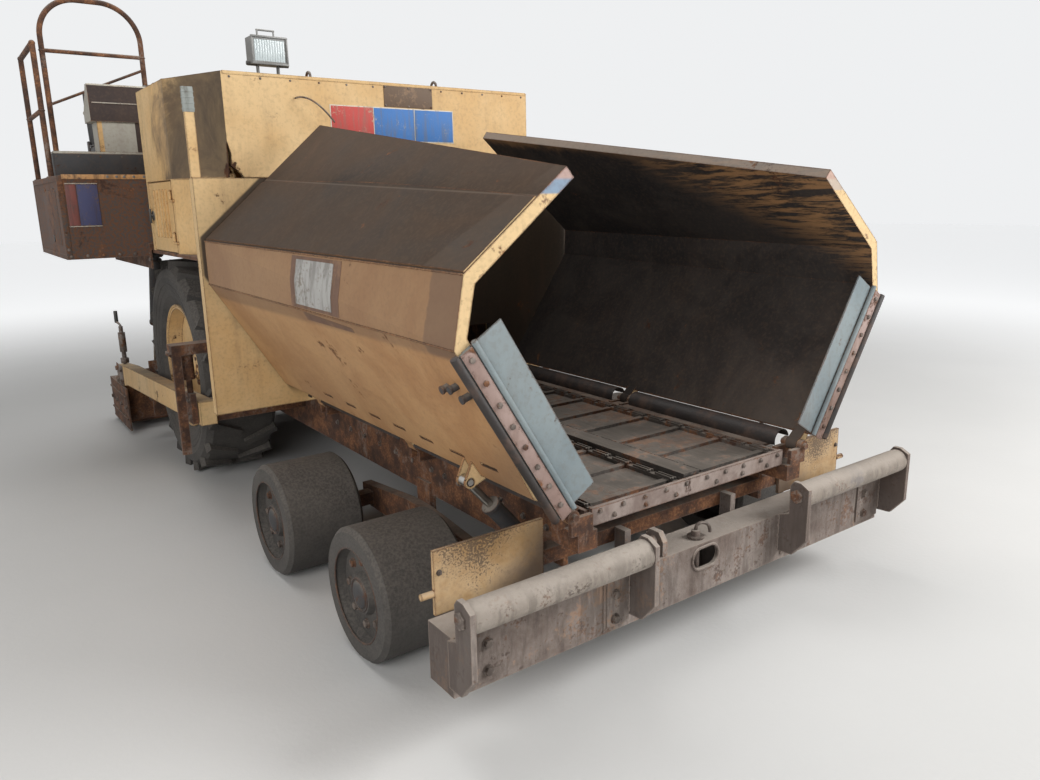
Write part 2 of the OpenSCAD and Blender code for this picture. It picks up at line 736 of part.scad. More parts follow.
// Tyre carcass with two rows of slanted lugs
module rear_tyre() {
    place() color("DimGray") translate([rear_in + rear_w/2, axle3_y, rear_r]) rotate([90, 0, 90]) {
        rotate_extrude($fn = 96)
            polygon([[rim_r + clear, -170], [rim_r + 60, -205], [rear_r - 120, -rear_w/2 + 4],
                [rear_r - lug_h - 40, -rear_w/2 + 14], [rear_r - lug_h - 8, -rear_w/2 + 50],
                [rear_r - lug_h, 0], [rear_r - lug_h - 8, rear_w/2 - 50],
                [rear_r - lug_h - 40, rear_w/2 - 14], [rear_r - 120, rear_w/2 - 4],
                [rim_r + 60, 205], [rim_r + clear, 170]]);
        for (s = [-1, 1], i = [0 : lug_n - 1])
            rotate([0, 0, (i + (s > 0 ? 0.5 : 0))*360/lug_n])
                translate([rear_r - lug_h - 44, 0, s*rear_w/4]) rotate([s*28, 0, 0])
                    translate([0, -24, -rear_w/4 + 8]) cube([lug_h + 42, 48, rear_w/2 - 16]);
    }
}

module rear_rim() {
    place() color("Orange") translate([rear_in + rear_w/2, axle3_y, rear_r]) rotate([90, 0, 90])
        rotate_extrude($fn = 96)
            polygon([[stub_r + clear, -rear_w/2 + 40], [stub_r + 60, -rear_w/2 + 40], [stub_r + 60, 20],
                [rim_r - 60, 60], [rim_r - 30, -180], [rim_r, -180], [rim_r, 180], [rim_r - 30, 180],
                [rim_r - 45, 90], [stub_r + 60, 60], [stub_r + 50, 110], [0, 110], [0, 40],
                [stub_r + clear, 40]]);
}

module platform() {
    place() color("SaddleBrown") {
        block([-plat_half, plat_y, plat_z], [plat_half, plat_end, plat_top]);
        // skirt round the floor
        both() block([plat_half - 10, plat_y, plat_z - 120], [plat_half, plat_end, plat_z]);
        // hangers for the screed lift cylinders
        both() for (s = [-1, 1])
            block([lift_x + s*36 - 8, lift_y - 30, lift_z - 30], [lift_x + s*36 + 8, lift_y + 30, plat_z]);
        both() bar_x(16, lift_x - 50, lift_x + 50, lift_y, lift_z);
        // ladders down the back
        both() {
            for (x = [260, 560]) block([x, plat_end - 40, plat_z - 820], [x + 30, plat_end, plat_z]);
            for (i = [0 : 2]) block([280, plat_end - 60, plat_z - 780 + i*260],
                [570, plat_end, plat_z - 755 + i*260]);
        }
    }
}

// Hollow stands with an open underside, wider than the platform floor
module stands() {
    place() color("SaddleBrown") both() difference() {
        union() {
            block([stand_in, stand_y, plat_top], [stand_out, plat_end, stand_top]);
            block([plat_half, stand_y, plat_z - 40], [stand_out, plat_end, plat_top + 1]);
        }
        block([stand_in + stand_t, stand_y + stand_t, plat_z - 41],
            [stand_out - stand_t, plat_end - stand_t, stand_top - stand_t]);
    }
}

module consoles() {
    place() color("Gainsboro") both() {
        // dark pedestal, pale body, sloping panel
        block([stand_in + 30, console_y + 10, stand_top], [stand_out - 60, console_y + 230, stand_top + 170]);
        block([stand_in + 40, console_y + 20, stand_top + 170],
            [stand_in + 0.56*stand_w, console_y + 200, console_top - 230]);
        side_plate([[console_y, console_top - 230], [console_y, console_top], [console_y + 60, console_top],
            [console_y + 230, console_top - 160], [console_y + 230, console_top - 230]],
            stand_in - 10, 0.62*stand_w);
    }
    // steering column on the right console
    place() color("Gainsboro") translate([-stand_in - 260, console_y + 190, console_top - 230])
        rotate([-40, 0, 0]) cylinder(h = 130 - clear, r = 24);
}

module steering_wheel() {
    place() color("DimGray") translate([-stand_in - 260, console_y + 190, console_top - 230]) rotate([-40, 0, 0]) {
        translate([0, 0, 130]) {
            rotate_extrude($fn = 64) translate([wheel_r - 14, 14]) circle(r = 13, $fn = 24);
            for (a = [0, 120, 240]) rotate([0, 0, a]) block([0, -12, 8], [wheel_r - 16, 12, 20]);
            cylinder(h = 26, r = 34);
        }
    }
}

module seats() {
    place() color("DimGray") both() {
        // pedestal, cushion with a rolled front edge, raked backrest
        block([stand_in + 110, seat_y + 80, stand_top], [stand_in + 350, seat_y + 300, stand_top + 150]);
        translate([0, seat_y, stand_top]) {
            side_plate([[50, 148], [30, 175], [35, 235], [65, 256], [345, 240], [345, 148]],
                stand_in + 60, 340);
            side_plate([[275, 200], [290, 340], [332, 640], [355, 660], [390, 655], [340, 300],
                [330, 200]], stand_in + 70, 320);
        }
    }
}

// Rails round one stand, with their tops at the given height
module stand_rails(top) {
    rx = stand_out - 30;
    for (y = [console_y + 20, rail_end]) {
        translate([rx, y, stand_top]) cylinder(h = top - stand_top, r = rail_r);
        translate([rx, y, top]) sphere(r = rail_r + 2);
    }
    bar_y(rail_r, console_y + 20, rail_end, rx, top);
    bar_y(rail_r - 3, console_y + 20, rail_end, rx, stand_top + 420);
    // legs behind the console and the rail across
    for (x = [hoop_in, hoop_out])
        translate([x, hoop_y, stand_top]) cylinder(h = top - stand_top, r = rail_r);
    bar_x(rail_r - 4, hoop_in, hoop_out, hoop_y, top);
}

module handrails() {
    place() color("SaddleBrown") {
        stand_rails(low_rail_z);
        for (x = [hoop_in, hoop_out]) translate([x, hoop_y, low_rail_z]) sphere(r = rail_r + 2);
        mirror([1, 0, 0]) {
            stand_rails(rail_z);
            // tall hoop over the legs
            for (x = [hoop_in, hoop_out])
                translate([x, hoop_y, rail_z]) cylinder(h = hoop_z - hoop_r - rail_z, r = rail_r);
            translate([hoop_out - hoop_r, hoop_y, hoop_z - hoop_r]) rotate([90, 0, 0])
                rotate_extrude(angle = 90) translate([hoop_r, 0]) circle(r = rail_r, $fn = 24);
            translate([hoop_in + hoop_r, hoop_y, hoop_z - hoop_r]) rotate([90, -90, 0])
                rotate_extrude(angle = 90) translate([hoop_r, 0]) circle(r = rail_r, $fn = 24);
            bar_x(rail_r, hoop_in + hoop_r, hoop_out - hoop_r, hoop_y, hoop_z);
            // slanted brace
            translate([hoop_in, hoop_y, rail_z - 80]) rotate([0, 90 + atan2(260, hoop_out - hoop_in), 0])
                cylinder(h = norm([260, hoop_out - hoop_in]), r = 9);
        }
    }
}

module tow_arms() {
    place() color("Orange") both() difference() {
        side_plate([[tow_y - 80, tow_z - 70], [tow_y - 80, tow_z + 70], [screed_y - 150, screed_top + 180],
            [screed_y + 250, screed_top + 140], [screed_y + 250, screed_top], [screed_y, screed_top],
            [screed_y - 150, screed_top + 30]], arm_x, arm_w);
        bar_x(arm_pin_r + clear, arm_x - 5, arm_x + arm_w + 5, tow_y, tow_z);
    }
}

module screed() {
    place() color("SaddleBrown") {
        side_plate([[screed_y, screed_z + 30], [screed_y, screed_top], [screed_end, screed_top],
            [screed_end, screed_z + 10], [screed_end - 20, screed_z], [screed_y + 40, screed_z]],
            -overall_w/2 + 12, overall_w - 24);
        both() {
            // end gates
            block([overall_w/2 - 12, screed_y - 150, screed_z - 20], [overall_w/2, screed_end, screed_top]);
            // walkway brackets
            for (x = [200, 900]) block([x, screed_end, 220], [x + 15, rear_reach - 20, 340]);
            // lugs for the lift rods
            for (s = [-1, 1])
                block([lift_x + s*36 - 8, lift_eye_y - 40, screed_top], [lift_x + s*36 + 8, lift_eye_y + 40, lift_eye_z + 34]);
        }
        block([-1100, screed_end, 340], [1100, rear_reach, 370]);
    }
}

module auger() {
    place() color("Silver") {
        bar_x(auger_shaft_r, 62, 1100, auger_y, auger_z);
        translate([80, auger_y, auger_z]) rotate([90, 0, 90])
            linear_extrude(height = 1000, twist = -360*auger_turns, slices = 12*auger_turns, $fn = 12)
                polygon([[-9, -auger_r], [9, -auger_r], [9, auger_r], [-9, auger_r]]);
    }
}

module auger_mount() {
    place() color("SaddleBrown") {
        // strike-off plate ahead of the augers, and its brackets
        block([-1120, frame_end, 200], [1120, frame_end + 15, 640]);
        // gearbox between the augers
        block([-60, frame_end + 15, auger_z - 90], [60, auger_y + 60, auger_z + 90]);
        // end hangers with a hole for the shaft's end
        both() difference() {
            side_plate([[frame_end + 15, 400], [frame_end + 15, 560], [auger_y + 45, auger_z + 90],
                [auger_y + 45, auger_z - 45], [auger_y - 45, auger_z - 45]], 1086, 12);
            bar_x(auger_shaft_r + clear, 1080, 1110, auger_y, auger_z);
        }
    }
}

module lift_barrel() {
    place() color("DarkSlateGray")
        translate([lift_x, lift_y, lift_z]) rotate([lift_a, 0, 0]) difference() {
            union() {
                rotate([0, 90, 0]) cylinder(h = 54, r = 32, center = true);
                rotate([-90, 0, 0]) cylinder(h = 53, r = 26);
                translate([0, 52, 0]) rotate([-90, 0, 0]) cylinder(h = 568, r = 45);
            }
            rotate([0, 90, 0]) cylinder(h = 90, r = 16 + clear, center = true);
            translate([0, 80, 0]) rotate([-90, 0, 0]) cylinder(h = 700, r = 25 + clear);
        }
}

module lift_rod() {
    place() color("Silver")
        translate([lift_x, lift_eye_y, lift_eye_z]) rotate([lift_a, 0, 0]) {
            rotate([0, 90, 0]) cylinder(h = 54, r = 30, center = true);
            translate([0, -lift_len + 400, 0]) rotate([-90, 0, 0]) cylinder(h = lift_len - 400, r = 25);
        }
}

chassis();
push_beam();
push_roller();  // push_roller_left
mirror([1, 0, 0]) push_roller();  // push_roller_right
apron();
conveyor();
wing();  // wing_left
mirror([1, 0, 0]) wing();  // wing_right
flap();  // flap_left
mirror([1, 0, 0]) flap();  // flap_right
wing_barrel();  // wing_barrel_left
mirror([1, 0, 0]) wing_barrel();  // wing_barrel_right
wing_rod();  // wing_rod_left
mirror([1, 0, 0]) wing_rod();  // wing_rod_right
back_wall();
hood();
hood_door();  // hood_door_left
mirror([1, 0, 0]) hood_door();  // hood_door_right
engine();
work_lamp();
exhaust();
bogies();
knuckle(axle1_y);  // knuckle_1_left
mirror([1, 0, 0]) knuckle(axle1_y);  // knuckle_1_right
knuckle(axle2_y);  // knuckle_2_left
mirror([1, 0, 0]) knuckle(axle2_y);  // knuckle_2_right
front_wheel(axle1_y);  // front_wheel_1_left
mirror([1, 0, 0]) front_wheel(axle1_y);  // front_wheel_1_right
front_wheel(axle2_y);  // front_wheel_2_left
mirror([1, 0, 0]) front_wheel(axle2_y);  // front_wheel_2_right
rear_tyre();  // rear_tyre_left
mirror([1, 0, 0]) rear_tyre();  // rear_tyre_right
rear_rim();  // rear_rim_left
mirror([1, 0, 0]) rear_rim();  // rear_rim_right
platform();
stands();
consoles();
steering_wheel();
seats();
handrails();
tow_arms();
screed();
auger();  // auger_left
mirror([1, 0, 0]) auger();  // auger_right
auger_mount();
lift_barrel();  // lift_barrel_left
mirror([1, 0, 0]) lift_barrel();  // lift_barrel_right
lift_rod();  // lift_rod_left
mirror([1, 0, 0]) lift_rod();  // lift_rod_right
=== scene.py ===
# %% [markdown]
# A wheeled asphalt paver, parked with its hopper wings folded up and long out of use.
# The CAD solids already hold the machine's main shapes at their real size. This lesson
# dresses them: it gives every surface a worn finish, and adds the bolts, plates, weld
# seams, hubs, switches and cushions that a step up to the machine would show.

# %% Load the frame
from math import atan2, cos, degrees, hypot, pi, radians, sin

import bpy
from mathutils import Matrix, Vector


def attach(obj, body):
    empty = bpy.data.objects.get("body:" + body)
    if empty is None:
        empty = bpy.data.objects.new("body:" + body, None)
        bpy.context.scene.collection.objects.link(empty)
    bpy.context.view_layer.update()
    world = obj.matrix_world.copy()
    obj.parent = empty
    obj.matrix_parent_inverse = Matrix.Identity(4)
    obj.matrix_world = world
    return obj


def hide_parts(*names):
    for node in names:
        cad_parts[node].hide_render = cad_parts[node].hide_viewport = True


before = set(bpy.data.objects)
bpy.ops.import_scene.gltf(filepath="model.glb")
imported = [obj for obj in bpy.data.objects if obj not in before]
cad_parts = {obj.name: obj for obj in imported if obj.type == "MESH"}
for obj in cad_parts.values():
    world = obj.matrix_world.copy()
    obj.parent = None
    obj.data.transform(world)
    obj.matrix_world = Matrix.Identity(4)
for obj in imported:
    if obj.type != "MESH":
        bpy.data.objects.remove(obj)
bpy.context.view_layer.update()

# %% [markdown]
# The machine's parts are measured in millimetres: x from its centre plane, y rearward
# from the front face of the apron, z up from the ground. Blender works in metres with the
# origin under the middle of the machine, so one small function turns the first into the
# second, and every place below is written the way a fitter would read it off a tape.

# %% Places in millimetres
APRON_Y = 2600


def spot(x, y, z):
    """A place on the machine, given in millimetres from the apron, in the frame's metres."""
    return Vector((x, y - APRON_Y, z)) / 1000


SIDES = {"left": 1, "right": -1}
print("apron's foot on the centre plane:", tuple(spot(0, 0, 430)))

# %% [markdown]
# The camera stands where the photographer stood: at eye height, ahead of the right front
# corner, looking a little down. Its lens and its turn come from lines on the machine that
# run along its length and its width. Building the camera's matrix from its forward and
# right directions is surer than three angles, because the small roll is easy to add.

# %% Camera
EYE = spot(-2375, -2175, 1800)
TURN, DIP, ROLL = radians(-36.01), radians(13.37), radians(0.96)
PHOTO_WIDTH, FOCAL_PIXELS = 1040, 803.2

camera_data = bpy.data.cameras.new("photo_camera")
camera_data.sensor_width = 36
camera_data.lens = FOCAL_PIXELS / PHOTO_WIDTH * camera_data.sensor_width
camera = bpy.data.objects.new("photo_camera", camera_data)
bpy.context.scene.collection.objects.link(camera)
ahead = Vector((-sin(TURN) * cos(DIP), cos(TURN) * cos(DIP), -sin(DIP)))
level = Vector((cos(TURN), sin(TURN), 0))
down = ahead.cross(level)
across = level * cos(ROLL) + down * sin(ROLL)
drop = down * cos(ROLL) - level * sin(ROLL)
looking = Matrix((across, -drop, -ahead)).transposed().to_4x4()
camera.matrix_world = Matrix.Translation(EYE) @ looking
bpy.context.scene.camera = camera
print("lens", round(camera_data.lens, 2), "mm at", tuple(round(v, 2) for v in EYE))

# %% [markdown]
# The set is a pale floor under an even, bright sky, with three large soft lamps: the
# strongest from the front left of the machine, where daylight reached it. Only rays that
# come straight from the camera, or by way of a mirror or glass, see the background as
# white, so the backdrop is bright and the machine isn't flooded with light.

# %% Floor, sky and lamps
FLOOR_SIZE = 90
SKY_LIGHT = 0.42
LAMPS = [
    # name, place, what it aims at, size, watts
    ("key", (5.5, -7.5, 5.5), (0, -1, 1.2), 5.0, 900),
    ("fill", (-7.0, -5.5, 4.0), (0, 0, 1.0), 6.0, 430),
    ("top", (-1.0, 1.5, 9.0), (0, 0, 1.0), 7.0, 420),
]

bpy.ops.object.select_all(action="DESELECT")
bpy.ops.mesh.primitive_plane_add(size=FLOOR_SIZE)
floor = bpy.context.object
floor.name = "floor"

for name, place, aim, size, watts in LAMPS:
    lamp = bpy.data.lights.new(name, "AREA")
    lamp.size = size
    lamp.energy = watts
    stand = bpy.data.objects.new(name, lamp)
    stand.location = place
    stand.rotation_euler = (Vector(aim) - Vector(place)).to_track_quat("-Z", "Y").to_euler()
    bpy.context.scene.collection.objects.link(stand)

bpy.context.scene.view_settings.view_transform = "Standard"
print("lamps:", [row[0] for row in LAMPS])

# %% [markdown]
# A finish is a network of nodes, and its maths is easier to read as a formula. Value wraps
# a socket and turns + - * / into Math nodes, from either side. Finish owns one material,
# and its method node adds any other node: settings first, then what feeds its sockets.

# %% Formulas for finishes
class Value:
    """A number that varies over the surface. Arithmetic on it adds Math nodes."""

    def __init__(self, finish, socket):
        self.finish, self.socket = finish, socket

    def math(self, operation, *values):
        """A Math node's output."""
        return self.finish.node("Math", {"operation": operation}, dict(enumerate(values)))

    def __add__(self, other):
        return self.math("ADD", self, other)

    def __sub__(self, other):
        return self.math("SUBTRACT", self, other)

    def __rsub__(self, other):
        return self.math("SUBTRACT", other, self)

    def __mul__(self, other):
        return self.math("MULTIPLY", self, other)

    __radd__ = __add__
    __rmul__ = __mul__

    def or_more(self, other):
        """The larger of the two."""
        return self.math("MAXIMUM", self, other)

    def size(self):
        """The value without its sign."""
        return self.math("ABSOLUTE", self)

    def over(self, edge, soft):
        """A mask: 0 below the edge, 1 above it, with a soft border."""
        sockets = {0: self, 1: edge - soft, 2: edge + soft}
        return self.finish.node("MapRange", {"interpolation_type": "SMOOTHSTEP"}, sockets)


class Finish:
    """One material, with the nodes that this object's finishes share."""

    def __init__(self, name):
        self.material = bpy.data.materials.new(name)
        self.material.use_nodes = True
        self.tree = self.material.node_tree
        self.surface = self.tree.nodes["Principled BSDF"]
        self.place = self.node("TexCoord", out="Object")
        self.facing = self.node("TexCoord", out="Normal")

    def feed(self, socket, value):
        """Links a Value to a socket, or writes a plain number or colour in it."""
        if isinstance(value, Value):
            self.tree.links.new(value.socket, socket)
        else:
            socket.default_value = value

    def node(self, kind, settings=None, sockets=None, out=0):
        """Adds a node, sets it, feeds its sockets by name or number, and gives its output."""
        made = self.tree.nodes.new("ShaderNode" + kind)
        for key, value in (settings or {}).items():
            setattr(made, key, value)
        for key, value in (sockets or {}).items():
            self.feed(find_socket(made.inputs, key), value)
        return Value(self, find_socket(made.outputs, out))

    def noise(self, scale, detail, rough=0.55, at=None, warp=0):
        """Cloudy noise from 0 to 1, most of it between 0.35 and 0.65."""
        sockets = {"Vector": at or self.place, "Scale": scale, "Detail": detail}
        return self.node("TexNoise", {}, {**sockets, "Roughness": rough, "Distortion": warp})

    def scaled(self, x, y, z):
        """The place stretched or squeezed along each axis."""
        return self.node("Mapping", {}, {"Vector": self.place, "Scale": (x, y, z)})

    def axes(self, vector):
        """The three numbers of a vector."""
        made = self.node("SeparateXYZ", {}, {0: vector})
        return [Value(self, s) for s in made.socket.node.outputs]

    def upward(self):
        """How far the surface faces up: 1 on a floor, 0 on a wall."""
        return self.axes(self.facing)[2]

    def measure(self, operation, *vectors):
        """A number from vectors: a length, a distance or a dot product."""
        settings = {"operation": operation}
        return self.node("VectorMath", settings, dict(enumerate(vectors)), out="Value")

    def mix(self, mask, low, high):
        """One colour where the mask is 0, the other where it is 1."""
        sockets = {"Factor": mask, "A": paint(low), "B": paint(high)}
        return self.node("Mix", {"data_type": "RGBA"}, sockets)

    def edges(self, radius=0.012):
        """A mask that grows along outer edges, where paint is knocked off first."""
        rounded = self.node("Bevel", {"samples": 4}, {"Radius": radius})
        true = self.node("NewGeometry", out="Normal")
        return (1 - self.measure("DOT_PRODUCT", rounded, true)) * 4

    def done(self, colour, rough, height, depth, metal=0):
        """Wires the surface: colour, roughness, bump and metal."""
        self.feed(self.surface.inputs["Base Color"], paint(colour))
        self.feed(self.surface.inputs["Roughness"], rough)
        self.feed(self.surface.inputs["Metallic"], metal)
        bump = self.node("Bump", {}, {"Strength": 1.0, "Distance": depth, "Height": height})
        self.feed(self.surface.inputs["Normal"], bump)
        return self.material


def find_socket(sockets, key):
    """A node's enabled socket, by its name or its number."""
    enabled = [s for s in sockets if s.enabled]
    return enabled[key] if isinstance(key, int) else next(s for s in enabled if s.name == key)


def paint(colour):
    """A colour for a socket: a plain (r, g, b) gets its alpha, a Value passes through."""
    return colour if isinstance(colour, Value) else (*colour[:3], 1)


print("formula helpers ready")

# %% [markdown]
# The backdrop's brightness is settled in the floor and the sky themselves. The sky's
# shader mixes two strengths by Light Path, and the floor is pale concrete with a faint
# cloud in it, so that the tyres and the push beam keep their shadow. Far from the machine
# the floor glows a little, which hides the line where it meets the sky.

# %% Backdrop
world = bpy.data.worlds.new("sky")
world.use_nodes = True
bpy.context.scene.world = world
tree = world.node_tree
sky = tree.nodes["Background"]
sky.inputs["Strength"].default_value = SKY_LIGHT
seen = tree.nodes.new("ShaderNodeBackground")
seen.inputs["Color"].default_value = (0.86, 0.87, 0.88, 1)
path = tree.nodes.new("ShaderNodeLightPath")


def either(one, other):
    """The larger of two outputs in the sky's tree."""
    larger = tree.nodes.new("ShaderNodeMath")
    larger.operation = "MAXIMUM"
    tree.links.new(one, larger.inputs[0])
    tree.links.new(other, larger.inputs[1])
    return larger.outputs[0]


by_way = either(path.outputs["Is Glossy Ray"], path.outputs["Is Transmission Ray"])
looked_at = either(path.outputs["Is Camera Ray"], by_way)
blend = tree.nodes.new("ShaderNodeMixShader")
for number, output in enumerate((looked_at, sky.outputs[0], seen.outputs[0])):
    tree.links.new(output, blend.inputs[number])
tree.links.new(blend.outputs[0], tree.nodes["World Output"].inputs[0])

concrete = Finish("pale_concrete")
cloud = concrete.noise(0.7, 5)
pores = concrete.noise(40, 3)
body = concrete.mix(cloud, (0.6, 0.595, 0.58), (0.68, 0.675, 0.66))
floor.data.materials.append(concrete.done(body, 0.9, pores, 0.001))
horizon = concrete.measure("LENGTH", concrete.place).over(8.1, 4.2)
glow = concrete.mix(horizon, (0, 0, 0), (0.75, 0.76, 0.77))
concrete.feed(concrete.surface.inputs["Emission Color"], glow)
concrete.surface.inputs["Emission Strength"].default_value = 1.0
print("sky and floor ready")

# %% [markdown]
# Old machine paint fails in a known order: it fades in patches, dust lies on what faces
# up, rain draws dirt down the sides, edges are knocked bare, and rust spreads from chips.
# Two functions lay those five over each other; their arguments say how far each went.
# Painting masks by formula beats drawn images here, because no seam or stretch shows on
# solids that have no unwrapped surface.

# %% Worn paint
RUST_DARK, RUST_MID = (0.045, 0.022, 0.014), (0.13, 0.055, 0.026)
RUST_BRIGHT = (0.27, 0.12, 0.05)
DUST = (0.3, 0.26, 0.215)
OCHRE, OCHRE_PALE = (0.63, 0.4, 0.175), (0.7, 0.49, 0.25)


def rust_colour(f):
    """Rust: nearly black where it is thick, brown, and orange where it is fresh."""
    tone = f.noise(9, 8, 0.7)
    speck = f.noise(90, 4, 0.6)
    deep = f.mix(tone.over(0.5, 0.12), RUST_DARK, RUST_MID)
    return f.mix((speck * 0.5 + tone * 0.5).over(0.58, 0.08), deep, RUST_BRIGHT)


def weather(f, colour, rust, dust, streaks, chips, extra=None, matt=0):
    """Lays dirt, dust, chips and rust on a colour, and finishes the material."""
    broad = f.noise(0.9, 5, 0.6)
    patch = f.noise(5, 9, 0.66, warp=0.4)
    fine = f.noise(55, 6, 0.62)
    grit = f.noise(320, 3)
    run = f.noise(1.3, 7, 0.72, at=f.scaled(8, 8, 0.8), warp=0.25)
    # a cloud of grime, and inside it dirt that rain has drawn down
    dark_cloud = (broad * 0.7 + patch * 0.3).over(0.5, 0.14)
    dirty = (dark_cloud * 0.3 + run.over(0.55, 0.09) * (0.06 + dark_cloud * 0.4)) * streaks
    body = f.mix(dirty, colour, (0.13, 0.075, 0.045))
    body = f.mix(fine.over(0.56, 0.1) * 0.16, body, (0.13, 0.08, 0.05))
    # dust lies where the surface faces up
    dusty = f.upward().over(0.45, 0.35) * (0.35 + patch.over(0.5, 0.16) * 0.65) * dust
    body = f.mix(dusty, body, DUST)
    # rust comes through in patches, and first along the edges
    raw = patch * 0.62 + broad * 0.23 + fine * 0.15
    mask = raw.over(0.62 - 0.17 * rust, 0.025)
    if extra is not None:
        mask = mask.or_more((extra + (patch - 0.5) * 1.6).over(0.5, 0.06))
    worn = (f.edges() * chips + (patch - 0.5) * 1.2 + (fine - 0.5) * 0.9).over(0.42, 0.07)
    rusty = mask.or_more(worn)
    body = f.mix(rusty, body, rust_colour(f))
    rough = 0.55 + rusty * 0.35 + dusty * 0.3 + grit * 0.08 + matt
    f.surface.inputs["Specular IOR Level"].default_value = 0.3
    height = fine * (0.18 + rusty * 0.7) + grit * 0.12 - rusty * 0.5 + broad * 1.2
    return f.done(body, rough, height, 0.0022)


def faded(f, fresh, pale):
    """Paint that has lost its colour in soft patches."""
    return f.mix(f.noise(1.7, 6, 0.6).over(0.5, 0.14), fresh, pale)


def near(f, centre, reach):
    """A mask that is 1 at a place and 0 at the given distance from it."""
    return 1 - f.measure("DISTANCE", f.place, centre) * (1 / reach)


def hood_paint():
    """The hood: a rusted tear, and splayed sides made dark above the deck, less so rearward."""
    f = Finish("ochre_hood")
    _, y, z = f.axes(f.place)
    torn = near(f, spot(-993, 2338, 1975), 0.08) + (f.noise(26, 8, 0.75) - 0.5) * 1.4
    flank_cloud = f.noise(2.6, 8, 0.68, warp=0.5)
    splayed = f.axes(f.facing)[0].size().over(0.8, 0.08)
    above_deck = (z - spot(0, 0, 1942).z).over(0, 0.004)
    in_front = (spot(0, 3020, 0).y - y + (flank_cloud - 0.5) * 2.2).over(0, 0.3)
    # the splayed sides are made dark above the deck, fading out rearward
    dark_flank = splayed * above_deck * in_front * (0.84 + (flank_cloud - 0.5) * 0.8)
    body = f.mix(dark_flank, faded(f, OCHRE, OCHRE_PALE), (0.028, 0.021, 0.018))
    return weather(f, body, rust=0, dust=0.7, streaks=0.3, chips=0.6, extra=torn)


def sheet_paint():
    """The back wall: nearly black where it closes the hopper, between the wings."""
    f = Finish("ochre_sheet")
    x, y, z = f.axes(f.place)
    out = x.size()
    inside_middle = (1.225 - out).over(0, 0.01)
    inside_upper = (3.07 - z * 1.128 - out).over(0, 0.01)
    inside_lower = (0.34 + z * 0.616 - out).over(0, 0.01)
    front_face = (spot(0, 2230, 0).y - y).over(0, 0.01)
    above_floor = (z - spot(0, 0, 780).z).over(0, 0.05)
    # between the wings, where it closes the hopper, the wall is made nearly black
    dark_between = inside_middle * inside_upper * inside_lower * front_face * above_floor
    body = f.mix(dark_between * 0.95, faded(f, OCHRE, OCHRE_PALE), (0.026, 0.021, 0.019))
    return weather(f, body, rust=0.12, dust=0.7, streaks=0.6, chips=0.9)


ochre_hood = hood_paint()
ochre_sheet = sheet_paint()
print("ochre finishes made")

# %% [markdown]
# A hopper wing's finish has four parts. Outside, its floor and its middle panel keep their
# ochre, and the upper panel is dark, with dirt and painted shade. Inside, hot asphalt has
# left it black, with ochre only where nothing slid. Its front edge gets a painted highlight.
# Which face is which follows from the direction it faces, so one finish serves both wings.

# %% Wing paint
def wing_outside(f, z, back, cloud, upper):
    """Ochre below, and from the upper bend to the rim dark, with dirt and painted shade."""
    ochre = f.mix(cloud.over(0.5, 0.12), (0.37, 0.195, 0.085), (0.45, 0.26, 0.12))
    # the upper panel's dark colour stands for dirt and for painted shade
    dark_cloud = f.mix(cloud.over(0.52, 0.1), (0.014, 0.012, 0.011), (0.024, 0.0195, 0.0175))
    strip = (0.07 - back - (z - 1.61) * 0.55).over(0, 0.01)
    dark_cloud = f.mix(strip * 0.35, dark_cloud, (0.07, 0.06, 0.052))
    # along the laid plate's upper edge: painted shadow fading upward, painted highlight on the
    # edge
    step = z - 1.817 - back * 0.0484
    step_shadow = step.over(0, 0.002) * (1 - step.over(0.04, 0.045))
    dark_cloud = f.mix(step_shadow * 0.9, dark_cloud, (0.006, 0.005, 0.005))
    step_highlight = step.over(-0.003, 0.002) * (1 - step.over(0.002, 0.002))
    dark_cloud = f.mix(step_highlight * 0.7, dark_cloud, (0.1, 0.082, 0.066))
    dark_cloud = f.mix(step.over(0.1, 0.09) * 0.4, dark_cloud, (0.06, 0.042, 0.032))
    # the middle panel is darker and browner, most by its front edge; the foot darkens forward
    middle = (z - 1.325).over(0, 0.012) * (1 - upper)
    patch = (0.02 - back + (cloud - 0.5) * 0.12).over(0, 0.006) * middle
    outside = f.mix(middle * 0.45 + patch * 0.3, ochre, (0.11, 0.072, 0.053))
    dark_foot = (0.95 - z - back * 0.6 + (cloud - 0.5) * 0.2).over(0, 0.12)
    outside = f.mix(dark_foot * 0.5, outside, (0.12, 0.075, 0.05))
    # where the panel faces up it takes the dark colour: dirt, and painted shade
    return f.mix(upper * (0.93 + (cloud - 0.5) * 0.3), outside, dark_cloud)


def wing_inside(f, z, back, cloud, up):
    """Black with asphalt, scraped to ochre by the rim in front, brown low down."""
    scrape = f.noise(3.5, 8, 0.72, at=f.scaled(4, 1.2, 15), warp=0.3)
    inside = f.mix(cloud.over(0.52, 0.12), (0.016, 0.014, 0.014), (0.036, 0.03, 0.027))
    low = (1.25 - z - back * 0.5 + (cloud - 0.5) * 0.8).over(0.35, 0.35)
    inside = f.mix(low * 0.55, inside, (0.11, 0.085, 0.068))
    corner = (z - 1.5 - back * 0.5).over(0.05, 0.14) * scrape.over(0.5, 0.07)
    by_rim = (z - 1.86 - back * 0.135 + (cloud - 0.5) * 0.2).over(0, 0.03)
    left_over = corner.or_more(by_rim * (back - 1.0).over(0, 0.5) * 0.7)
    inside = f.mix(left_over * 0.85, inside, (0.36, 0.19, 0.08))
    rim = up.over(0.3, 0.1) * (z - 1.85 - back * 0.13).over(0, 0.006)
    return f.mix(rim * 0.8, inside, (0.3, 0.255, 0.215))


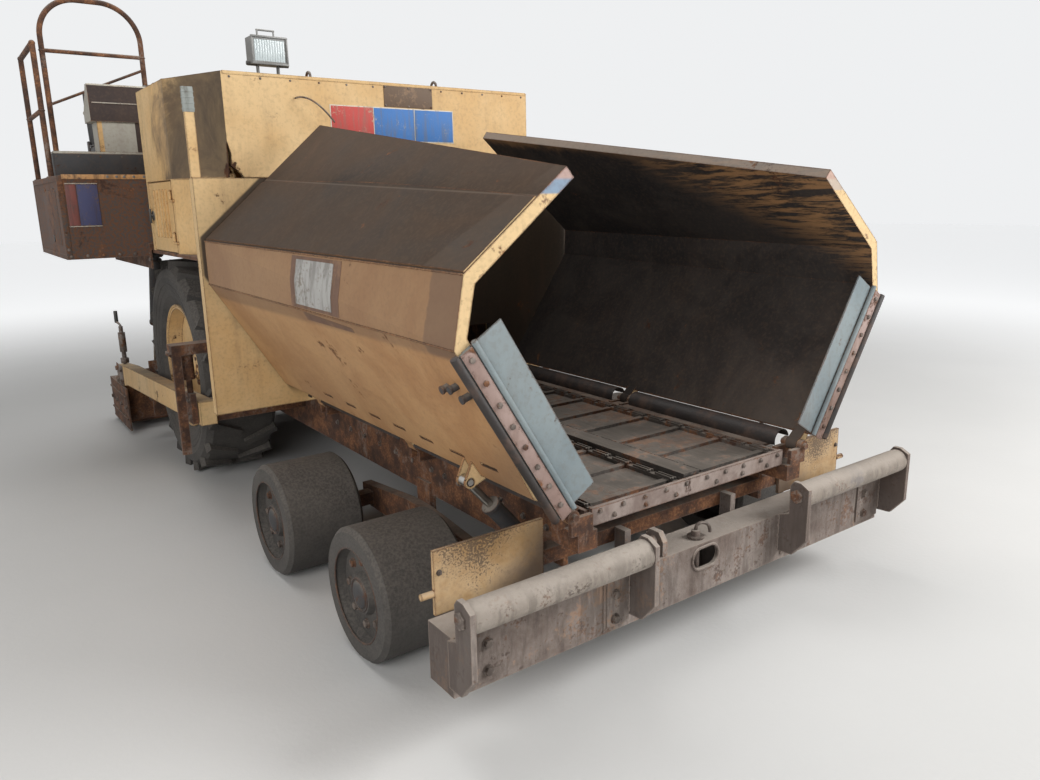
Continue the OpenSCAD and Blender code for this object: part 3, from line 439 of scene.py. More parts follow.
def wing_paint():
    """Both wings in one finish. back is how far a point lies behind the apron, in metres."""
    f = Finish("ochre_wing")
    x, y, z = f.axes(f.place)
    nx, ny, nz = f.axes(f.facing)
    outward = (x.math("SIGN", x) * nx).over(0.05, 0.03)
    cloud = f.noise(2.2, 8, 0.68, warp=0.6)
    back = y - spot(0, 0, 0).y
    upper = nz.over(0.45, 0.05)
    outside = wing_outside(f, z, back, cloud, upper)
    both = f.mix(outward, wing_inside(f, z, back, cloud, nz), outside)
    # the front edge gets a painted highlight, with chips, and leftovers of other coats at its top
    chipped = f.noise(14, 6, 0.7).over(0.6, 0.05)
    lit_edge = f.mix(chipped, (0.72, 0.52, 0.28), (0.24, 0.14, 0.085))
    old_coat = f.mix(x.over(0, 0.01), (0.12, 0.27, 0.45), (0.46, 0.4, 0.36))
    lit_edge = f.mix((z - 1.815).over(0, 0.004) * 0.8, lit_edge, old_coat)
    lit_edge = f.mix((z - 1.86).over(0, 0.006) * 0.85, lit_edge, (0.5, 0.33, 0.27))
    # faces that look forward take the painted highlight
    both = f.mix((0 - ny).over(0.8, 0.1), both, lit_edge)
    matt = upper.or_more(1 - outward) * 0.35
    return weather(f, both, rust=0, dust=0.03, streaks=0.2, chips=0.8, matt=matt)


def tar_paint():
    """Sheet that is caked with old asphalt."""
    f = Finish("tarred")
    cloud = f.noise(7, 8, 0.7)
    body = f.mix(cloud.over(0.55, 0.1), (0.02, 0.015, 0.013), (0.07, 0.042, 0.03))
    return f.done(body, 0.4 + cloud * 0.5, f.noise(60, 5) + cloud, 0.0015)


def apron_paint():
    """Apron plates: ochre that is peppered with bare spots and darkens to the chassis."""
    f = Finish("ochre_apron")
    x, _, z = f.axes(f.place)
    out = x.size()
    cloud = f.noise(6, 8, 0.7, warp=0.3)
    pepper = f.noise(120, 4, 0.6)
    ochre = f.mix(cloud.over(0.5, 0.14), (0.47, 0.29, 0.13), (0.58, 0.41, 0.235))
    high_up = (z - 0.55) * 1.2 - (out - 0.98).size() * 0.9
    spots = (pepper * 0.7 + cloud * 0.5 + high_up).over(0.62, 0.05)
    ochre = f.mix(spots * 0.8, ochre, (0.09, 0.065, 0.05))
    grey = (cloud * 0.8 + (0.92 - out) * 2.4 + (0.52 - z) * 2.6).over(0.66, 0.3)
    body = f.mix(grey * 0.85, ochre, (0.115, 0.085, 0.07))
    lip = f.mix(cloud.over(0.5, 0.12), (0.2, 0.15, 0.13), (0.33, 0.27, 0.24))
    body = f.mix(out.over(0.62, 0.01), lip, body)
    return weather(f, body, rust=0.15, dust=0.4, streaks=0.4, chips=0.7)


ochre_wing = wing_paint()
tarred = tar_paint()
ochre_apron = apron_paint()
print("wing and apron finishes made")

# %% [markdown]
# The rest of the machine's finishes: brown rusted steel with the last of its paint, dark
# paint, rubber grey with dust, scraped steel, plating gone dull, glass and plastic. Each
# kind is one function, and its numbers say how far the wear has gone.

# %% Steel, rubber and the rest
def rusted(name, remains, share, dust=0.6):
    """Steel that is rusted nearly all over, with paint left in patches."""
    f = Finish(name)
    patch = f.noise(4, 9, 0.7, warp=0.5)
    fine = f.noise(60, 6, 0.65)
    grit = f.noise(300, 3)
    left = (patch * 0.8 + fine * 0.2).over(0.62 - 0.2 * share, 0.03)
    body = f.mix(left, rust_colour(f), f.mix(fine.over(0.5, 0.1), remains, RUST_MID))
    dusty = f.upward().over(0.5, 0.35) * (0.3 + patch.over(0.48, 0.15) * 0.7) * dust
    body = f.mix(dusty, body, DUST)
    bare = (f.edges(0.008) + (fine - 0.5) * 1.2).over(0.55, 0.08)
    body = f.mix(bare * 0.6, body, (0.2, 0.15, 0.12))
    return f.done(body, 0.78 + grit * 0.2, fine * 0.8 - left * 0.25 + grit * 0.3, 0.0022)


def two_tone(name, fresh, pale, **wear):
    """Paint that has faded from one colour to another, and weathered."""
    f = Finish(name)
    return weather(f, faded(f, fresh, pale), **wear)


def plain_coat(name, colour, rust=0.25, dust=0.6):
    """Paint that has faded to a lighter shade of itself."""
    pale = tuple(c * 1.6 for c in colour)
    return two_tone(name, colour, pale, rust=rust, dust=dust, streaks=0.3, chips=0.8)


def scraped_steel(name, light, dark, along, metal, rust, dust):
    """Bare steel with scratches drawn along one direction, stained and rust-spotted."""
    f = Finish(name)
    scratch = f.noise(60, 5, 0.6, at=f.scaled(*along))
    stain = f.noise(3.2, 8, 0.65, warp=0.5)
    fine = f.noise(80, 5)
    body = f.mix(stain.over(0.5, 0.13), dark, light)
    body = f.mix(scratch.over(0.56, 0.05) * 0.35, body, tuple(min(1, c * 1.6) for c in light))
    spots = (stain * 0.5 + f.noise(16, 8, 0.7) * 0.5).over(0.6 - 0.1 * rust, 0.03)
    body = f.mix(spots, body, rust_colour(f))
    body = f.mix(f.upward().over(0.5, 0.4) * dust, body, DUST)
    rough = 0.42 + spots * 0.4 + stain * 0.25
    height = scratch * 0.3 + fine * 0.3 + spots * 0.3
    return f.done(body, rough, height, 0.0012, (1 - spots) * metal)


def rubber(name):
    """Old rubber: grey with settled dust, and finely cracked."""
    f = Finish(name)
    cloud = f.noise(3.5, 7, 0.65)
    fine = f.noise(90, 5, 0.6)
    body = f.mix(cloud.over(0.47, 0.15), (0.018, 0.017, 0.017), (0.05, 0.046, 0.042))
    settled = (0.25 + f.upward().over(0.1, 0.5) * 0.5) * (0.4 + fine.over(0.5, 0.15) * 0.6)
    body = f.mix(settled * 0.8, body, (0.17, 0.15, 0.13))
    cracks = f.noise(130, 2, 0.4, warp=1.5).over(0.6, 0.03)
    return f.done(body, 0.85 + fine * 0.1, cloud * 0.6 + fine * 0.5 - cracks * 0.3, 0.002)


def smooth_finish(name, colour, other, rough, scale, depth, metal, dust):
    """A closed surface such as plastic, glass or plating, with handling marks and dust."""
    f = Finish(name)
    cloud = f.noise(scale / 6, 5)
    fine = f.noise(scale * 6, 4)
    body = f.mix(cloud.over(0.5, 0.18), colour, other)
    settled = (0.2 + f.upward().over(0.3, 0.4) * 0.8) * fine.over(0.45, 0.2)
    body = f.mix(settled * dust, body, DUST)
    return f.done(body, rough + cloud * 0.15, fine, depth, metal)


def caked(name, pale, brown, remains, share, side_shade=0.0):
    """Steel under dried dust: soft greys and browns, with specks of rust and paint."""
    f = Finish(name)
    broad = f.noise(1.5, 6, 0.6)
    patch = f.noise(7, 9, 0.72, warp=0.3)
    fine = f.noise(75, 6, 0.65)
    grit = f.noise(330, 3)
    body = f.mix((broad * 0.55 + patch * 0.45).over(0.5, 0.13), brown, pale)
    body = f.mix((patch * 0.6 + fine * 0.4).over(0.57, 0.04) * 0.75, body, rust_colour(f))
    left = (f.noise(3.1, 8, 0.7) * 0.75 + fine * 0.25).over(0.64 - 0.14 * share, 0.03)
    body = f.mix(left * 0.7, body, remains)
    run = f.noise(6, 6, 0.65, at=f.scaled(4, 4, 0.7))
    body = f.mix(run.over(0.53, 0.08) * 0.45, body, tuple(c * 0.55 for c in brown))
    # faces that look left or right get painted shade, as strong as side_shade
    shaded = f.axes(f.facing)[0].size().over(0.8, 0.1)
    body = f.mix(shaded * side_shade * (0.6 + patch * 0.5), body, (0.05, 0.036, 0.03))
    body = f.mix(f.upward().over(0.5, 0.35) * 0.65, body, (0.4, 0.35, 0.3))
    worn = (f.edges(0.01) + (fine - 0.5) * 1.1).over(0.5, 0.1)
    body = f.mix(worn * 0.55, body, (0.36, 0.29, 0.24))
    return f.done(body, 0.85 + grit * 0.12, fine * 0.9 + patch * 0.8 + grit * 0.3, 0.0026)


def console_paint():
    """Console boxes: pale, with a dark board in front above and ochre ends below it."""
    f = Finish("console_coat")
    x, _, z = f.axes(f.place)
    front = (0 - f.axes(f.facing)[1]).over(0.8, 0.1)
    board = (z - spot(0, 0, 2346).z).over(0, 0.001) * front
    below = front * (1 - board)
    width = x.size()
    ends = (width - 1.301).over(0, 0.001).or_more((0.97 - width).over(0, 0.001)) * below
    gap = (width - 1.068).over(0, 0.001) * (1.098 - width).over(0, 0.001) * below
    body = f.mix(f.noise(3, 8, 0.65, warp=0.5), (0.46, 0.44, 0.38), (0.34, 0.32, 0.27))
    body = f.mix(ends, body, OCHRE)
    body = f.mix(gap.or_more(board), body, (0.028, 0.018, 0.016))
    return weather(f, body, rust=0.15, dust=0.3, streaks=0.3, chips=0.8)


# rusted: what is left of the paint, how much of it, dust
rust_brown = rusted("rust_brown", (0.2, 0.15, 0.12), 0.3)
rust_stand = rusted("rust_stand", (0.07, 0.06, 0.055), 0.9, 0.7)
# caked: pale, brown, what is left of the paint, how much of it, painted shade on the sides
rust_beam = caked(
    "rust_beam", (0.3, 0.255, 0.225), (0.135, 0.098, 0.08), (0.38, 0.24, 0.16), 0.35, 0.85
)
roller_steel = caked(
    "roller_steel", (0.36, 0.315, 0.27), (0.235, 0.195, 0.16), (0.2, 0.18, 0.175), 0.5
)
dark_paint = plain_coat("dark_paint", (0.035, 0.036, 0.038))
pale_paint = plain_coat("pale_paint", (0.42, 0.4, 0.34), rust=0.15, dust=0.5)
engine_iron = plain_coat("engine_iron", (0.05, 0.047, 0.043), rust=0.3, dust=0.8)
console_coat = console_paint()
flap_sheet = two_tone(
    "flap_sheet", (0.17, 0.21, 0.225), (0.24, 0.285, 0.295),
    rust=0, dust=0.2, streaks=0.3, chips=0.4,
)
flap_bar = two_tone(
    "flap_bar", (0.25, 0.165, 0.14), (0.38, 0.28, 0.25),
    rust=0.2, dust=0.3, streaks=0.9, chips=0.22,
)
# scraped: light, dark, how the scratches are stretched, metal, rust, dust
worn_steel = scraped_steel(
    "worn_steel", (0.11, 0.093, 0.08), (0.04, 0.034, 0.03), (1, 0.1, 1), 0.3, 0.7, 0.3
)
bolt_steel = scraped_steel(
    "bolt_steel", (0.2, 0.165, 0.14), (0.08, 0.06, 0.05), (1, 1, 1), 0.3, 0.8, 0.25
)
# smooth: colour, its other shade, roughness, size of the marks, their depth, metal, dust
rod_chrome = smooth_finish(
    "rod_chrome", (0.6, 0.6, 0.58), (0.42, 0.4, 0.37), 0.22, 20, 0.0002, 1.0, 0.3
)
lamp_metal = smooth_finish(
    "lamp_metal", (0.2, 0.2, 0.195), (0.12, 0.12, 0.115), 0.45, 40, 0.0005, 0.5, 0.5
)
lamp_glass = smooth_finish(
    "lamp_glass", (0.62, 0.68, 0.68), (0.42, 0.48, 0.49), 0.12, 12, 0.0006, 0.0, 0.35
)
black_plastic = smooth_finish(
    "black_plastic", (0.02, 0.02, 0.021), (0.045, 0.044, 0.043), 0.45, 50, 0.0004, 0, 0.5
)
tyre_rubber = rubber("tyre_rubber")
print("finishes in all:", len(bpy.data.materials))

# %% [markdown]
# Each CAD node keeps its shape and takes the finish that fits it.

# %% Coat the CAD nodes
# in these lists of names a star stands for left and right
COATS = [
    (ochre_hood, "hood hood_door_*"),
    (ochre_apron, "apron"),
    (ochre_sheet, "back_wall rear_rim_* tow_arms"),
    (ochre_wing, "wing_*"),
    (rust_brown, "chassis bogies exhaust platform handrails screed auger_mount"),
    (rust_beam, "push_beam"),
    (rust_stand, "stands"),
    (console_coat, "consoles"),
    (flap_sheet, "flap_*"),
    (roller_steel, "push_roller_*"),
    (worn_steel, "conveyor auger_*"),
    (dark_paint, "wing_barrel_* lift_barrel_* knuckle_1_* knuckle_2_*"),
    (rod_chrome, "wing_rod_* lift_rod_*"),
    (tyre_rubber, "rear_tyre_* front_wheel_1_* front_wheel_2_*"),
    (lamp_metal, "work_lamp"),
    (engine_iron, "engine"),
    (black_plastic, "steering_wheel seats"),
]
bare = set(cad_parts)
for coat, names in COATS:
    for name in names.split():
        for node in dict.fromkeys(name.replace("*", side) for side in SIDES):
            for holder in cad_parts[node].material_slots:
                holder.material = coat
            bare.discard(node)
print("nodes with no finish:", sorted(bare))

# %% [markdown]
# New pieces start as a primitive at its place and are then cut, rounded and joined with
# the same operators a modeller uses by hand. An operator works on whatever is selected,
# and loading the frame leaves its nodes selected, so each helper lets go of everything
# first. A finished piece keeps its place in its mesh, and rides on the body it is fixed to.

# %% Modelling helpers
FORWARD, REARWARD, OUTWARD, UPWARD = (0, -1, 0), (0, 1, 0), (1, 0, 0), (0, 0, 1)
MIRROR = Matrix.Scale(-1, 4, OUTWARD)
SMOOTH_ANGLE = radians(35)


def take(*pieces):
    """Makes these the only selected objects, and the first one active."""
    bpy.ops.object.select_all(action="DESELECT")
    for piece in pieces:
        piece.select_set(True)
    if pieces:
        bpy.context.view_layer.objects.active = pieces[0]


def modify(piece, kind, **settings):
    """Adds a modifier, sets it and applies it."""
    made = piece.modifiers.new(kind.lower(), kind)
    for key, value in settings.items():
        setattr(made, key, value)
    take(piece)
    bpy.ops.object.modifier_apply(modifier=made.name)
    return piece


def soften(piece, edge):
    """Rounds a piece's sharp edges by so many millimetres."""
    return modify(piece, "BEVEL", width=edge / 1000, segments=2, limit_method="ANGLE")


def repeat(piece, count, step):
    """A row of copies, each moved on by the same step in metres."""
    return modify(
        piece, "ARRAY", count=count, use_relative_offset=False, use_constant_offset=True,
        constant_offset_displace=step,
    )


def open_mesh(piece, test=None):
    """Edit mode on a piece, with every face selected, or those that pass a test."""
    take(piece)
    bpy.ops.object.mode_set(mode="EDIT")
    bpy.ops.mesh.select_all(action="DESELECT" if test else "SELECT")
    if test:
        bpy.ops.object.mode_set(mode="OBJECT")
        for face in piece.data.polygons:
            face.select = test(face)
        bpy.ops.object.mode_set(mode="EDIT")


def close_mesh():
    """Back from edit mode."""
    bpy.ops.object.mode_set(mode="OBJECT")


def bake_place(piece):
    """Moves a piece's place and turn into its mesh."""
    take(piece)
    bpy.ops.object.transform_apply(location=True, rotation=True, scale=True)
    return piece


def block(name, low, high, edge):
    """A plate or a box between two corners, with its edges rounded."""
    a, b = spot(*low), spot(*high)
    take()
    bpy.ops.mesh.primitive_cube_add(size=1, location=(a + b) / 2, scale=b - a)
    piece = bake_place(bpy.context.object)
    piece.name = name
    return soften(piece, edge) if edge else piece


def rod(name, start, end, radius, side_shade=24, edge=1.5, top=None):
    """A round bar between two places, or a cone when it has a top radius."""
    a, b = spot(*start), spot(*end)
    take()
    turn = (b - a).to_track_quat("Z", "Y").to_euler()
    sizes = {"vertices": side_shade, "depth": (b - a).length}
    sizes |= {"location": (a + b) / 2, "rotation": turn}
    if top is None:
        bpy.ops.mesh.primitive_cylinder_add(radius=radius / 1000, **sizes)
    else:
        bpy.ops.mesh.primitive_cone_add(radius1=radius / 1000, radius2=top / 1000, **sizes)
    piece = bpy.context.object
    piece.name = name
    return soften(piece, edge) if edge else piece


def ring(name, centre, axis, radius, thick, side_shade, round_sides=8):
    """A ring of round wire about an axis."""
    take()
    turn = Vector(axis).to_track_quat("Z", "Y").to_euler()
    bpy.ops.mesh.primitive_torus_add(
        location=spot(*centre), rotation=turn, major_radius=radius / 1000,
        minor_radius=thick / 1000, major_segments=side_shade, minor_segments=round_sides,
    )
    piece = bpy.context.object
    piece.name = name
    return piece


def wire(name, places, radius, bends=True, sizes=None):
    """A bar bent along a row of places. sizes swells or thins it at each place."""
    line = bpy.data.curves.new(name, "CURVE")
    line.dimensions = "3D"
    line.bevel_depth = radius / 1000
    line.bevel_resolution = 2
    line.use_fill_caps = True
    spline = line.splines.new("NURBS" if bends else "POLY")
    spline.points.add(len(places) - 1)
    for i, (point, place) in enumerate(zip(spline.points, places)):
        point.co = (*spot(*place), 1)
        point.radius = 1 if sizes is None else sizes[i]
    if bends:
        spline.order_u = 4
        spline.use_endpoint_u = True
    piece = bpy.data.objects.new(name, line)
    bpy.context.scene.collection.objects.link(piece)
    take(piece)
    bpy.ops.object.convert(target="MESH")
    return bpy.context.object


def joined(name, pieces):
    """Several meshes made one."""
    take(*pieces)
    if len(pieces) > 1:
        bpy.ops.object.join()
    bpy.context.object.name = name
    return bpy.context.object


def settle(piece, body, slot, finish):
    """Puts a finished piece on its body, with its place in its mesh and its finish on it."""
    bake_place(piece)
    bpy.ops.object.shade_smooth_by_angle(angle=SMOOTH_ANGLE)
    piece.data.materials.clear()
    piece.data.materials.append(finish)
    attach(piece, body)
    return piece


def twin(piece, name, matrix):
    """A copy with its own mesh, moved by a matrix. A mirrored one is turned right side out."""
    other = piece.copy()
    other.data = piece.data.copy()
    other.name = name
    bpy.context.scene.collection.objects.link(other)
    other.parent = None
    other.matrix_world = matrix @ piece.matrix_world
    bake_place(other)
    if matrix.determinant() < 0:
        open_mesh(other)
        bpy.ops.mesh.flip_normals()
        close_mesh()
    return other


def both_sides(piece, bodies, slot, finish):
    """Settles a left piece, and its mirrored copy on the right. bodies is one name or a pair."""
    left, right = (bodies, bodies) if isinstance(bodies, str) else bodies
    base = piece.name
    other = twin(piece, base + "_right", MIRROR)
    piece.name = base + "_left"
    return settle(piece, left, slot, finish), settle(other, right, slot, finish)


def sheet(name, cuts, shape):
    """A grid whose points go where shape sends them; it gets 0 to 1 in both directions."""
    take()
    bpy.ops.mesh.primitive_grid_add(x_subdivisions=cuts[0], y_subdivisions=cuts[1], size=1)
    piece = bpy.context.object
    piece.name = name
    for vertex in piece.data.vertices:
        vertex.co = spot(*shape(vertex.co.x + 0.5, vertex.co.y + 0.5))
    return piece


def thicken(piece, thick):
    """Gives a sheet its thickness, and turns its faces outward."""
    modify(piece, "SOLIDIFY", thickness=thick / 1000, offset=-1)
    open_mesh(piece)
    bpy.ops.mesh.normals_make_consistent(inside=False)
    close_mesh()
    return piece


def heading(start, end):
    """The direction from one place on a flat drawing to another, of length 1."""
    run = hypot(end[0] - start[0], end[1] - start[1])
    return (end[0] - start[0]) / run, (end[1] - start[1]) / run


def beside(start, way, distance, off):
    """The place so far along a direction from a start, and so far to its left."""
    return (
        start[0] + way[0] * distance - way[1] * off,
        start[1] + way[1] * distance + way[0] * off,
    )


print("modelling helpers ready")

# %% [markdown]
# A bolt is modelled once: a six-sided head with its corners broken, on a round washer.
# Rows of copies then stand on the faces they hold, each turned a little further, as no two
# heads on a real machine line up. Weld beads are wires whose thickness swells and thins
# every few millimetres, which catches the light like the scales of a real seam.

# %% Bolts and welds
BEAD_LENGTH = 11


def hex_bolt(size):
    """One bolt head on its washer at the origin, along +Z; size is its thread in millimetres."""
    unit = size / 1000
    take()
    bpy.ops.mesh.primitive_cylinder_add(
        vertices=6, radius=0.95 * unit, depth=0.7 * unit, location=(0, 0, 0.5 * unit)
    )
    head = bpy.context.object
    open_mesh(head, lambda face: face.normal.z > 0.9)
    bpy.ops.mesh.inset(thickness=0.14 * unit)
    bpy.ops.transform.translate(value=(0, 0, 0.07 * unit))
    close_mesh()
    bpy.ops.mesh.primitive_cylinder_add(
        vertices=14, radius=1.25 * unit, depth=0.17 * unit, location=(0, 0, 0.085 * unit)
    )
    return joined("bolt", [head, bpy.context.object])


def stand_on(pattern, name, place, out, turn):
    """A copy of an upright pattern, standing on a place and pointing along out."""
    upright = Vector(out).to_track_quat("Z", "Y").to_matrix().to_4x4()
    there = Matrix.Translation(spot(*place)) @ upright @ Matrix.Rotation(turn, 4, "Z")
    return twin(pattern, name, there)


def bolts(name, body, size, rows, mirrored=None):
    """Rows of bolts, each from one place to another, so many, pointing out of their face."""
    pattern = hex_bolt(size)
    made = []
    for start, end, count, out in rows:
        for i in range(count):
            share = i / max(count - 1, 1)
            place = tuple(a + (b - a) * share for a, b in zip(start, end))
            made.append(stand_on(pattern, name, place, out, 0.35 + 1.3 * i))
    bpy.data.objects.remove(pattern)
    row = joined(name, made)
    if mirrored:
        return both_sides(row, (body, mirrored), "worn_steel", bolt_steel)
    return settle(row, body, "worn_steel", bolt_steel)


def alone(places, out):
    """Rows of one bolt each."""
    return [(place, place, 1, out) for place in places]


def bolt_circle(name, body, size, centre, axis, radius, count):
    """Bolts round a hub that faces left or right."""
    x, y, z = centre
    turns = [2 * pi * i / count for i in range(count)]
    places = [(x, y + radius * cos(a), z + radius * sin(a)) for a in turns]
    return bolts(name, body, size, alone(places, axis))


def seam(name, bodies, runs, finish, slot, radius):
    """Weld beads along straight runs, on both sides."""
    beads = []
    for start, end in runs:
        length = sum((b - a) ** 2 for a, b in zip(start, end)) ** 0.5
        steps = max(int(length / BEAD_LENGTH), 3)
        shares = [i / steps for i in range(steps + 1)]
        places = [tuple(a + (b - a) * share for a, b in zip(start, end)) for share in shares]
        swell = [0.72 + 0.38 * (i % 2) + 0.12 * sin(i * 1.7) for i in range(steps + 1)]
        beads.append(wire(name, places, radius, bends=False, sizes=swell))
    return both_sides(joined(name, beads), bodies, slot, finish)


print("helpers ready; a bolt of 16 has", len(hex_bolt(16).data.polygons), "faces")
bpy.data.objects.remove(bpy.data.objects["bolt"])

# %% [markdown]
# The push beam takes the dump truck's tyres on its two rollers. Each pair of roller
# brackets stands on foot plates bolted to the beam's face, the brackets are welded round,
# and the drawbar's pin drops through the top of the beam with a bent handle to lift it by.

# %% Push beam
BEAM_FACE = -195
foot_outer = block("foot_plate_outer", (1037, BEAM_FACE - 9, 262), (1215, BEAM_FACE + 1, 448), 3)
foot_inner = block("foot_plate_inner", (457, BEAM_FACE - 9, 262), (566, BEAM_FACE + 1, 448), 3)
foot_strip = block("foot_strip", (567, BEAM_FACE - 5, 246), (580, BEAM_FACE + 1, 452), 2)
foot_plates = joined("foot_plates", [foot_outer, foot_inner, foot_strip])
both_sides(foot_plates, "chassis", "rusty_paint", rust_beam)
bolts(
    "foot_bolts", "chassis", 17, [
        ((1090, BEAM_FACE - 9, 399), (1090, BEAM_FACE - 9, 300), 2, FORWARD),
        ((528, BEAM_FACE - 9, 391), (528, BEAM_FACE - 9, 293), 2, FORWARD),
    ], mirrored="chassis",
)
weld_runs = [
    ((437, BEAM_FACE - 1, 292), (437, BEAM_FACE - 1, 452)),
    ((1213, BEAM_FACE - 10, 300), (1213, BEAM_FACE - 10, 450)),
    ((1219, BEAM_FACE + 3, 300), (1219, BEAM_FACE + 3, 454)),
    ((460, BEAM_FACE - 10, 300), (460, BEAM_FACE - 10, 450)),
]
seam("beam_welds", "chassis", weld_runs, rust_beam, "rusty_paint", 5)
SLOT_X, SLOT_Z, SLOT_RADIUS = -30, 391.5, 47
pin_path = [
    (SLOT_X, -140, 480), (SLOT_X, -140, 505), (SLOT_X, -150, 520),
    (2, -158, 522), (30, -160, 500), (34, -160, 470),
]
pin_handle = wire("pin_handle", pin_path, 7)
pin_collar = rod("pin_collar", (SLOT_X, -140, 455), (SLOT_X, -140, 466), 34)
settle(joined("tow_pin_handle", [pin_handle, pin_collar]), "chassis", "worn_steel", bolt_steel)
rim_path = []
for turn in range(25):
    a = 2 * pi * turn / 24
    middle = SLOT_X + (30 if cos(a) > 0 else -30)
    x, z = middle + SLOT_RADIUS * cos(a), SLOT_Z + SLOT_RADIUS * sin(a)
    rim_path.append((x, BEAM_FACE - 1, z))
slot_rim = wire("slot_rim", rim_path, 6, bends=False)
settle(slot_rim, "chassis", "rusty_paint", rust_beam)
for side, sign in SIDES.items():
    caps = []
    for x, out in ((439, -9), (1233, 9)):
        start, end = (sign * x, -280, 560), (sign * (x + out), -280, 560)
        caps.append(rod("roller_cap", start, end, 31, 6, 2))
    settle(joined(f"roller_caps_{side}", caps), "chassis", "worn_steel", bolt_steel)
print("push beam dressed")

# %% [markdown]
# The apron plates hang on rows of small bolts. Along the wings' lower front edge a rubbery
# flap sheet is clamped by a flat bar, whose bolts stand proud and have gone brown, and a
# round bar runs beside it. The flap slants, so its places are counted along its own edge.

# %% Apron and flaps
bolts(
    "apron_bolts", "chassis", 9, [
        ((1143, 0, 584), (1143, 0, 584), 1, FORWARD),
        ((60, -110, 684), (520, -110, 684), 5, FORWARD),
        ((120, -110, 652), (450, -110, 652), 3, FORWARD),
    ], mirrored="chassis",
)
WINGS = ("wing_left", "wing_right")
FLAP_Y, FLAP_START, FLAP_END = -170, (700, 752), (1098, 1392)
FLAP_WAY = heading(FLAP_START, FLAP_END)


def along_flap(distance, off, y=FLAP_Y):
    """A place so far up the flap from the hinge, and so far across it."""
    x, z = beside(FLAP_START, FLAP_WAY, distance, off)
    return (x, y, z)


flap_row = (along_flap(60, -32), along_flap(700, -32), 8, FORWARD)
bolts("flap_bolts", "wing_left", 11, [flap_row], mirrored="wing_right")
flap_clamp = block("flap_clamp", (0, -2, -57), (735, 0, -7), 1)
flap_clamp.data.transform(Matrix.Translation(-spot(0, 0, 0)))
slant = Matrix.Rotation(-atan2(FLAP_WAY[1], FLAP_WAY[0]), 4, "Y")
flap_foot = spot(FLAP_START[0], FLAP_Y - 0.5, FLAP_START[1])
flap_clamp.matrix_world = Matrix.Translation(flap_foot) @ slant
both_sides(flap_clamp, WINGS, "flap_sheet", flap_bar)
bar_y = FLAP_Y + 3
edge_bar = rod("flap_edge_bar", along_flap(16, -76, bar_y), along_flap(742, -76, bar_y), 15, 24, 3)
both_sides(edge_bar, WINGS, "dark_paint", tarred)
print("apron and flaps dressed")

# %% [markdown]
# A wing's outer side carries a worn, blank information plate in a patch of old glue that
# runs over the bend below, a long plate along its upper panel, three cut pipe ends by the
# front bend, and weld seams along its bends. The panels are turned and tapered, so a plate
# is a grid whose points are placed by the panel's own corners and then pressed onto it.

# %% Wing details
WING_FRONT, WING_REAR = -152, 2150
# corners of the wing's panels as x and z, at its front and at its rear end
BEND_LOW = ((1146, 1360), (1212, 1398))
BEND_HIGH = ((1105, 1586), (1212, 1616))
HINGE_LINE = ((854, 817), (854, 817))
RIM = ((709, 1899), (544, 2208))


def on_panel(low, high, y, share, off):
    """A place on an outer panel: y along the wing, share from its lower to its upper edge."""
    t = (y - WING_FRONT) / (WING_REAR - WING_FRONT)
    a, b = ([edge[0][k] * (1 - t) + edge[1][k] * t for k in (0, 1)] for edge in (low, high))
    run = hypot(b[0] - a[0], b[1] - a[1])
    x, z = beside(a, heading(a, b), run * share, -off)
    return (x, y, z)


def laid_plate(name, panel, y0, y1, share0, share1, thick):
    """A plate between two places along the left wing and two shares up one of its panels."""
    def above_panel(along, up):
        """A place well outside the panel, from which the sheet is pressed onto it."""
        top = share1[0] * (1 - along) + share1[1] * along
        return on_panel(*panel, y0 + (y1 - y0) * along, share0 + (top - share0) * up, 30)

    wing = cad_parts["wing_left"]
    piece = sheet(name, (24, 14), above_panel)
    modify(piece, "SHRINKWRAP", target=wing, offset=thick / 1000, wrap_mode="ABOVE_SURFACE")
    return thicken(piece, thick + 1)


def label_finish(name, colour, dirt, share=0.5):
    """A blank label: its colour scuffed, peeled at the corners and run with dirt."""
    f = Finish(name)
    cloud = f.noise(9, 8, 0.7)
    fine = f.noise(70, 6, 0.65)
    run = f.noise(5, 6, 0.6, at=f.scaled(6, 6, 0.7))
    body = f.mix((cloud * 0.6 + fine * 0.4).over(0.66 - 0.2 * share, 0.05), colour, dirt)
    body = f.mix(run.over(0.55, 0.08) * 0.5, body, tuple(c * 0.45 for c in dirt))
    return f.done(body, 0.55 + fine * 0.25, fine + cloud, 0.0008)


plate_grey = label_finish("label_grey", (0.36, 0.35, 0.33), (0.2, 0.17, 0.14))
glue_brown = label_finish("label_glue", (0.13, 0.07, 0.045), (0.2, 0.11, 0.06))
MIDDLE, LOWER, UPPER = (BEND_LOW, BEND_HIGH), (HINGE_LINE, BEND_LOW), (BEND_HIGH, RIM)
glue = laid_plate("wing_label_glue", MIDDLE, 620, 1062, 0.02, (0.97, 0.97), 1.2)
tail = laid_plate("wing_label_tail", LOWER, 545, 960, 0.93, (0.96, 0.99), 1.2)
label = laid_plate("wing_label", MIDDLE, 682, 1012, 0.08, (0.91, 0.91), 3.4)
step = laid_plate("wing_lower_plate", UPPER, -149, 2146, 0.015, (0.7, 0.49), 5)
both_sides(step, WINGS, "ochre_paint", ochre_wing)
for piece, finish in ((glue, glue_brown), (tail, glue_brown), (label, plate_grey)):
    mirrored = twin(piece, piece.name + "_right", MIRROR)
    bpy.data.objects.remove(piece)
    settle(mirrored, "wing_right", "ochre_paint", finish)

